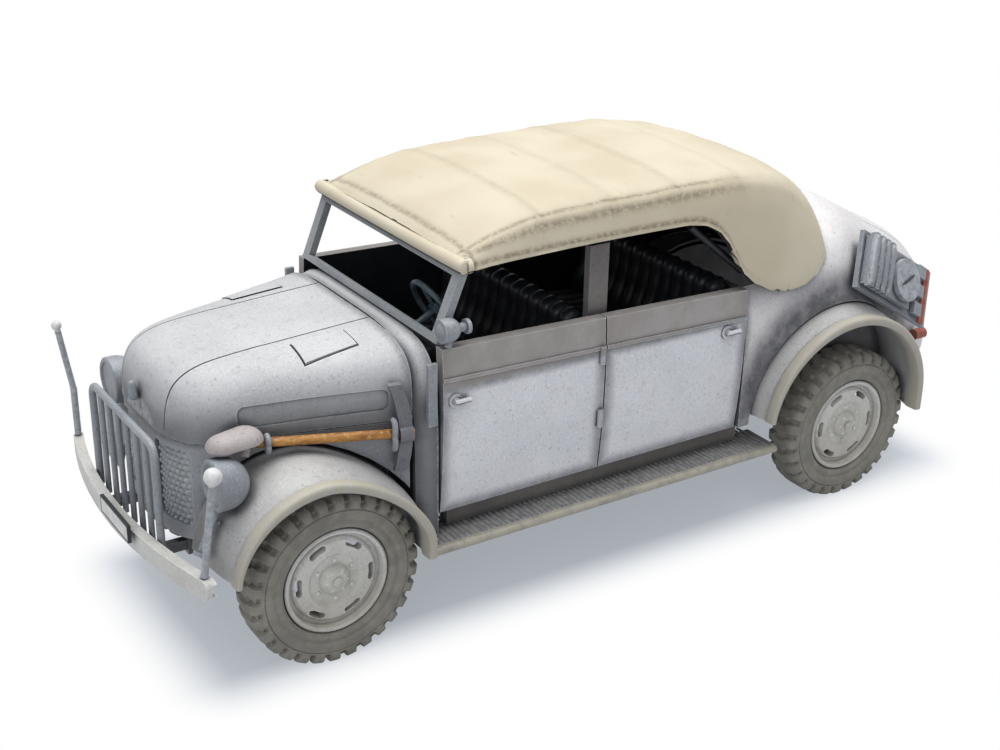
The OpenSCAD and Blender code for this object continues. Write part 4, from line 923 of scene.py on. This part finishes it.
def hood():
    """One curved sheet: front roll, side seams, bow ridges, hem, and a rounded cut edge."""
    across = 64
    stations = spread(HOOD_STATIONS, 17)
    points = []
    wash = []
    for station in stations:
        y, hw, top = station[:3]
        front = y - HOOD_FRONT_Y
        column, length = hood_column(station, across)
        for j, (x, z) in enumerate(column):
            from_edge = length * min(j, 2 * across - j) / across
            flat = within((z - (top - 2.6)) / 2.0)
            seam = abs(abs(x) - hw * 0.845) if z > top - 3 else 9
            lift = hood_sag(y) * flat + 0.07 * bell(seam, 0.16) * (y < WHEELBASE - 5)
            lift += 0.05 * bell(from_edge - 0.1, 0.22) + 0.10 * bell(front - 0.35, 0.35) * flat
            ripple = 0.035 * sin(1.7 * y + 0.6 * x) * sin(0.9 * x - 0.5 * y) * flat
            points.append((x, y, z + lift + ripple))
            dark = 0.75 * bell(seam - 0.26, 0.14) + 0.9 * bell(from_edge - 0.42, 0.2)
            dark += 0.7 * bell(front - 0.75, 0.22)
            dark += sum(0.28 * bell(y - bow - 0.4, 0.3) for bow in BOWS[1:]) * flat
            fade = 1.0 if y < WHEELBASE - 15 else max(0.12, 1 - (y - WHEELBASE + 15) / 5)
            wash.append(min(1.0, dark) * fade)
    count = 2 * across + 1
    corners = [i * count + j for i in range(len(stations) - 1) for j in range(count - 1)]
    mesh = bpy.data.meshes.new("hood_sheet")
    mesh.from_pydata([row(*p) for p in points], [], [(a, a + count, a + count + 1, a + 1) for a in corners])
    mesh.attributes.new("wash", "FLOAT", "POINT").data.foreach_set("value", wash)
    piece = link("hood_sheet", mesh)
    assign(piece.modifiers.new("thickness", "SOLIDIFY"), thickness=0.5 * MM, offset=-1, use_even_offset=False)
    assign(piece.modifiers.new("rounded", "BEVEL"), width=0.13 * MM, segments=2, limit_method="ANGLE",
           angle_limit=radians(55))
    dress(piece, CANVAS, ["canvas_hood"], angle=45)


def hood_roll():
    """The hood's front roll: a padded edge from the sheet down to the windscreen's top."""
    y, hw, top = HOOD_STATIONS[0][:3]
    column, _ = hood_column(HOOD_STATIONS[0], 40)
    middle = (HOOD_EDGE + top) / 2
    rings = []
    for depth, inset in ((0.02, 0.2), (0.08, 0.08), (0.2, 0.02), (0.34, 0.0), (0.58, 0.03)):
        rings.append([(x * (1 - inset / hw), y + depth, middle + (z - middle) * (1 - inset / 0.5))
                      for x, z in column])
    reach = 0.955 * hw - 0.45
    half = [(-reach, 0.55), (-reach, 0.2), (-reach + 0.25, 0.06), (-reach / 2, 0.0)]
    path = half + [(0, 0.0)] + [(-x, dy) for x, dy in reversed(half)]
    lip = tube("lip", [(x, y + dy, HOOD_EDGE + 0.38) for x, dy in spread(path, 6)], 0.5, 18)
    dress(joined("hood_roll", [rings_to_solid("roll", rings), lip]), CANVAS, angle=50)


hood()
hood_roll()


# ---- wheels ----

def tyre_profile():
    """Half section from the bead out to the tread's middle, as (radius, x, lug share)."""
    hw = TYRE_W / 2
    bead = [(0.05, 0.38), (0.16, 0.16), (0.32, 0.06), (0.5, 0.03), (0.62, 0.09), (0.74, 0.09), (0.84, 0.01),
            (1.1, 0)]
    tread = [(1.02, 0, 0), (0.96, 0.07, 0), (0.9, 0, 0), (0.78, 0, 0.25), (0.6, 0, 1), (0.42, 0.02, 1),
             (0.24, 0.12, 1), (0.1, 0.27, 1), (0.02, 0.5, 1), (0, 0.8, 1), (0, 1.0, 0.6), (0, hw - 0.2, 0.6)]
    return ([(RIM_R + out, hw - inset, 0) for out, inset in bead]
            + [(TYRE_R - depth, hw - inset, lug) for depth, inset, lug in tread])


def tyre(end, hand, wheel_y, side):
    """A tyre with cut lugs."""
    lugs = 30
    per_lug = 8
    depth = 0.34
    half = tyre_profile()
    section = half + [(r, -x, lug) for r, x, lug in reversed(half)]
    total = lugs * per_lug
    rings = []
    for i in range(total):
        groove = float((i % per_lug) / per_lug >= 0.62)
        ring = []
        for r, x, lug in section:
            drop = depth * groove * lug
            # the shoulder's grooves cut in from the side as well as from above
            inward = 0.22 * groove * (lug if r < TYRE_R - 0.15 else 0)
            radius = r - (drop if r > TYRE_R - 0.5 else 0.3 * drop)
            a = 2 * pi * (i + (1.5 if abs(x) < TYRE_W / 2 - 0.9 else 0)) / total
            xx = side * (HALF_TRACK + x - math.copysign(inward, x))
            ring.append((xx, wheel_y + radius * cos(a), TYRE_R + radius * sin(a)))
        rings.append(ring)
    piece = rings_to_solid(f"tyre_tread_{end}_{hand}", rings, closed=True)
    dress(piece, RUBBER, [f"tyre_{end}_{hand}"], 38, f"wheel_{end}_{hand}_body")


def peg(wheel_y, side, radius_out, angle, r, height, base, sides=6):
    """A nut that stands out of a wheel's disc."""
    face = HALF_TRACK + TYRE_W / 2 - 0.45
    y = wheel_y + radius_out * cos(angle)
    z = TYRE_R + radius_out * sin(angle)
    return rings_to_solid("peg", [
        [(side * (face + base - 0.1 + (height + 0.1) * f), y + w * r * cos(a), z + w * r * sin(a))
         for a in turns(sides)]
        for f, w in ((0, 1.0), (0.75, 1.0), (1.0, 0.6))])


def wheel_nuts(end, hand, wheel_y, side):
    """Two rings of nuts and the hub nut."""
    outer = [peg(wheel_y, side, 1.42, a + pi / 6, 0.15, 0.1, -0.12) for a in turns(6)]
    inner = [peg(wheel_y, side, 0.75, a, 0.1, 0.1, 0.2) for a in turns(6)]
    hub = peg(wheel_y, side, 0.0, 0.0, 0.34, 0.22, 0.3, 12)
    piece = joined(f"wheel_nuts_{end}_{hand}", outer + inner + [hub])
    dress(piece, WHEEL, body=f"wheel_{end}_{hand}_body")


for end, wheel_y in (("front", 0.0), ("rear", WHEELBASE)):
    for hand, side in (("left", 1), ("right", -1)):
        tyre(end, hand, wheel_y, side)
        wheel_nuts(end, hand, wheel_y, side)


# ---- grille, cabin and small fittings ----

def grille_mesh():
    """Bumpy wire-mesh panels just inside the two openings of the nose."""
    nose_front = [(0.0, NOSE_Y + 0.15)] + [(hw, y) for y, hw, *_ in BONNET_STATIONS[1:]]
    x0, x1, z0, z1 = 1.85, 5.55, 9.75, 15.35
    pitch = 0.44
    step = 0.055
    parts = []
    for side in (1, -1):
        rings = []
        for i in range(round((x1 - x0) / step) + 1):
            x = x0 + i * step
            front = []
            for j in range(round((z1 - z0) / step) + 1):
                z = z0 + j * step
                shift = 0.5 * (int(z / pitch) % 2)
                bump = abs(sin(pi * (x / pitch + shift))) * abs(sin(pi * z / pitch))
                front.append((side * x, on_line(nose_front, x) + 0.42 - 0.2 * bump ** 0.7, z))
            rings.append(front + [(px, py + 0.3, pz) for px, py, pz in reversed(front)])
        parts.append(rings_to_solid("mesh_panel", rings))
    dress(joined("grille_mesh", parts), MESH, angle=60)


def seat(node, y0, y1, back_y, top, seat_z):
    """A bench whose back and cushion are rolled into pleats."""
    half_w = TUB_HW - 0.95
    floor_z = box_mm(node)[0].z
    rolls = 13
    pitch = 2 * half_w / rolls
    r = pitch * 0.54
    parts = [block(-half_w, half_w, y0 + 0.3, y1, floor_z, seat_z - 0.4)]
    back = [(y1 - 0.4, seat_z - 1.2), (back_y - 0.6, seat_z + 0.5), (back_y + 0.25, (seat_z + top) / 2),
            (back_y + 0.55, top - 0.75), (back_y + 0.9, top - 0.55), (back_y + 1.2, top - 1.3),
            (back_y + 0.9, seat_z + 1), (back_y + 0.6, floor_z + 0.6)]
    cushion = [(y0 + 0.5, floor_z + 0.8), (y0 + 0.45, seat_z - 1.0), (y0 + 1.2, seat_z - 0.35),
               ((y0 + y1) / 2, seat_z - 0.2), (y1, seat_z - 0.6)]
    for i in range(rolls):
        x = -half_w + pitch * (i + 0.5)
        path = spread([(x, y, z) for y, z in back], 4)
        pinch = [r * (0.8 + 0.2 * abs(sin(0.9 * k))) for k in range(len(path))]
        parts.append(tube("pleat", path, pinch))
        parts.append(tube("cushion", spread([(x, y, z) for y, z in cushion], 4), r))
    dress(joined(f"{node}_pleats", parts), SEATS, [node], angle=60)


def board_treads():
    """Fine ribs across the running boards."""
    section = [(-0.13, -0.04), (0.13, -0.04), (0.07, 0.05), (-0.07, 0.05)]
    for hand, side in (("left", 1), ("right", -1)):
        low, high = box_mm(f"running_board_{hand}")
        outer = max(abs(low.x), abs(high.x)) - 0.42
        inner = outer - 3.6
        y0, y1 = low.y - AXLE_Y + 0.4, high.y - AXLE_Y - 0.4
        count = round((y1 - y0) / 0.42)
        parts = []
        for i in range(count):
            y = y0 + (y1 - y0) * (i + 0.5) / count
            parts.append(rings_to_solid("rib", [
                [(side * x, y + dy, BOARD_TOP + dz * k) for dy, dz in section]
                for x, k in ((inner, 0.6), (inner + 0.3, 1.0), (outer - 0.2, 1.0), (outer, 0.5))]))
        dress(joined(f"board_tread_{hand}", parts), BOARDS)


def tool_clamps():
    """Two clips that hold the pickaxe against the bonnet's side."""
    low, high = box_mm("pickaxe_handle")
    start = Vector((low.x + 0.32, low.y - AXLE_Y, high.z - 0.32))
    end = Vector((high.x - 0.32, high.y - AXLE_Y, low.z + 0.32))
    out = Vector((0.973, -0.22, 0.0))
    bow = [(0.02, 1), (0.38, 0.9), (0.5, 0.45), (0.42, 0.0), (0.5, -0.45), (0.38, -0.9), (0.02, -1)]
    parts = []
    for along, reach in ((0.07, 0.5), (0.86, 1.0)):
        middle = start + (end - start) * along
        path = [tuple(middle + out * d + Vector((0, 0, reach * share))) for d, share in bow]
        parts.append(tube("clip", spread(path, 4), 0.2))
    dress(joined("tool_clamps", parts), FITTINGS)


def stowed(x, y, z):
    """A point beside the stowed board: x out of it, y along it, z up it, turned as the CAD turns it."""
    turn = Euler([radians(a) for a in (-34, -20, 14)]).to_matrix()
    return tuple(turn @ Vector((x, y, z)) + Vector((BODY_HW - 0.95, WHEELBASE + 4.3, SILL_H - 2.9)))


def stowage():
    """Rounded ribs on the can, its lid with a dark slot, and the red batten on the board's end."""
    parts = []
    for i in range(4):
        y = -4.6 + 0.24 + i * 0.75
        path = [stowed(1.12, y, z) for z in (-2.0, -1.6, -0.6, 0.6, 1.6, 2.0)]
        parts.append(tube("rib", path, [0.16, 0.3, 0.3, 0.3, 0.3, 0.16], 12))
    lid = [[stowed(d, 0.35 + r * cos(a), r * sin(a)) for a in turns(48)]
           for d, r in ((0.9, 1.66), (1.16, 1.6), (1.24, 1.42), (1.2, 1.3))]
    dress(joined("stowage_ribs", parts + [rings_to_solid("lid", lid)]), FITTINGS)
    path = [stowed(1.18, 0.35 + d, 0.9 * d) for d in (-0.75, -0.4, 0.0, 0.4, 0.75)]
    # the slot's near black is painted shade inside it
    dress(tube("stowage_slot", path, [0.1, 0.17, 0.17, 0.17, 0.1]), INTERIOR)
    batten = [[stowed(d, y, z) for d, y in ((0.12, 3.75), (0.42, 3.78), (0.46, 4.3), (0.12, 4.34))]
              for z in (-2.3, -0.7, 0.7, 2.3)]
    dress(rings_to_solid("stowage_batten", batten), RED)


REAR_SEAT_Y = DOOR_REAR_Y - 1.4
grille_mesh()
seat("front_seat", 12.6, 18.6, 19.4, SILL_H - 0.1, 14.4)
seat("rear_seat", REAR_SEAT_Y - 6.6, REAR_SEAT_Y, REAR_SEAT_Y, SILL_H - 0.3, 14.2)
board_treads()
tool_clamps()
stowage()


# ---- camera, light, floor ----

def camera():
    azimuth, elevation, roll = (radians(a) for a in (56.808, 23.994, 1.0385))
    data = assign(bpy.data.cameras.new("camera"), sensor_width=36, lens=55.80, clip_start=0.002, clip_end=5)
    cam = link("camera", data)
    cam.matrix_world = (Matrix.Translation((0.08901, -0.06309, 0.05974)) @ Matrix.Rotation(azimuth, 4, "Z")
                        @ Matrix.Rotation(pi / 2 - elevation, 4, "X") @ Matrix.Rotation(roll, 4, "Z"))
    bpy.context.scene.camera = cam


def area_light(name, place, aim, size, power_w, color):
    lamp = link(name, assign(bpy.data.lights.new(name, "AREA"), size=size, energy=power_w, color=color))
    turn = (Vector(aim) - Vector(place)).to_track_quat("-Z", "Y")
    assign(lamp, location=place, rotation_mode="QUATERNION", rotation_quaternion=turn)


def floor():
    """A pale floor that keeps the shadow near the model and is plain white further out."""
    n = Nodes("floor")
    clear = n.add("NewGeometry").outputs["Position"]
    none = (0, 0, 0)
    for operation, other in (("ABSOLUTE", none), ("SUBTRACT", (0.0085, 0.031, 0)), ("MAXIMUM", none)):
        clear = n.add("VectorMath", [(0, clear), (1, other)], operation=operation).outputs[0]
    distance = n.add("VectorMath", [(0, clear)], operation="LENGTH").outputs["Value"]
    far = n.ramp(distance, -0.0015, 0.0055, 0.3, 1.0)
    pale = n.mix(n.cloud(20, 2, 0.55, 0.3, 0.7), (0.5, 0.515, 0.545), (0.52, 0.53, 0.56))
    diffuse = n.add("BsdfDiffuse", [("Color", pale)])
    # painted shadow: near the model the floor's white glow is tinted blue, fading to white further out
    shadow_tint = n.mix(n.ramp(far, 0.3, 1.0), (0.86, 0.92, 1.0), (1, 1, 1))
    white = n.add("Emission", [("Color", shadow_tint), ("Strength", 1.0)])
    rays = n.add("LightPath").outputs
    seen = n.most(rays["Is Camera Ray"], rays["Is Glossy Ray"], rays["Is Transmission Ray"])
    mix = n.add("MixShader", [(0, n.times(seen, far)), (1, diffuse.outputs[0]), (2, white.outputs[0])])
    mesh = bpy.data.meshes.new("floor")
    corners = [(-0.6, -0.6, 0), (0.6, -0.6, 0), (0.6, 0.6, 0), (-0.6, 0.6, 0)]
    mesh.from_pydata(corners, [], [(0, 1, 2, 3)])
    mesh.materials.append(n.end(mix.outputs[0]))
    link("floor", mesh)


def world():
    """Even light from all round, with a background that looks plain white."""
    n = Nodes("studio", "worlds")
    light = n.add("Background", [("Color", (0.93, 0.96, 1.0)), ("Strength", 0.47)])
    white = n.add("Background", [("Color", (1, 1, 1)), ("Strength", 1.0)])
    seen = n.add("LightPath").outputs["Is Camera Ray"]
    mix = n.add("MixShader", [(0, seen), (1, light.outputs[0]), (2, white.outputs[0])])
    bpy.context.scene.world = n.end(mix.outputs[0], "OutputWorld")


camera()
floor()
world()
area_light("overhead", (-0.03, 0.03, 0.3), (0, 0, 0.01), 0.34, 1.4, (1.0, 0.995, 0.985))
area_light("front_fill", (0.18, -0.26, 0.16), (0, 0, 0.012), 0.2, 0.24, (0.97, 0.98, 1.0))
bpy.context.scene.view_settings.view_transform = "Standard"
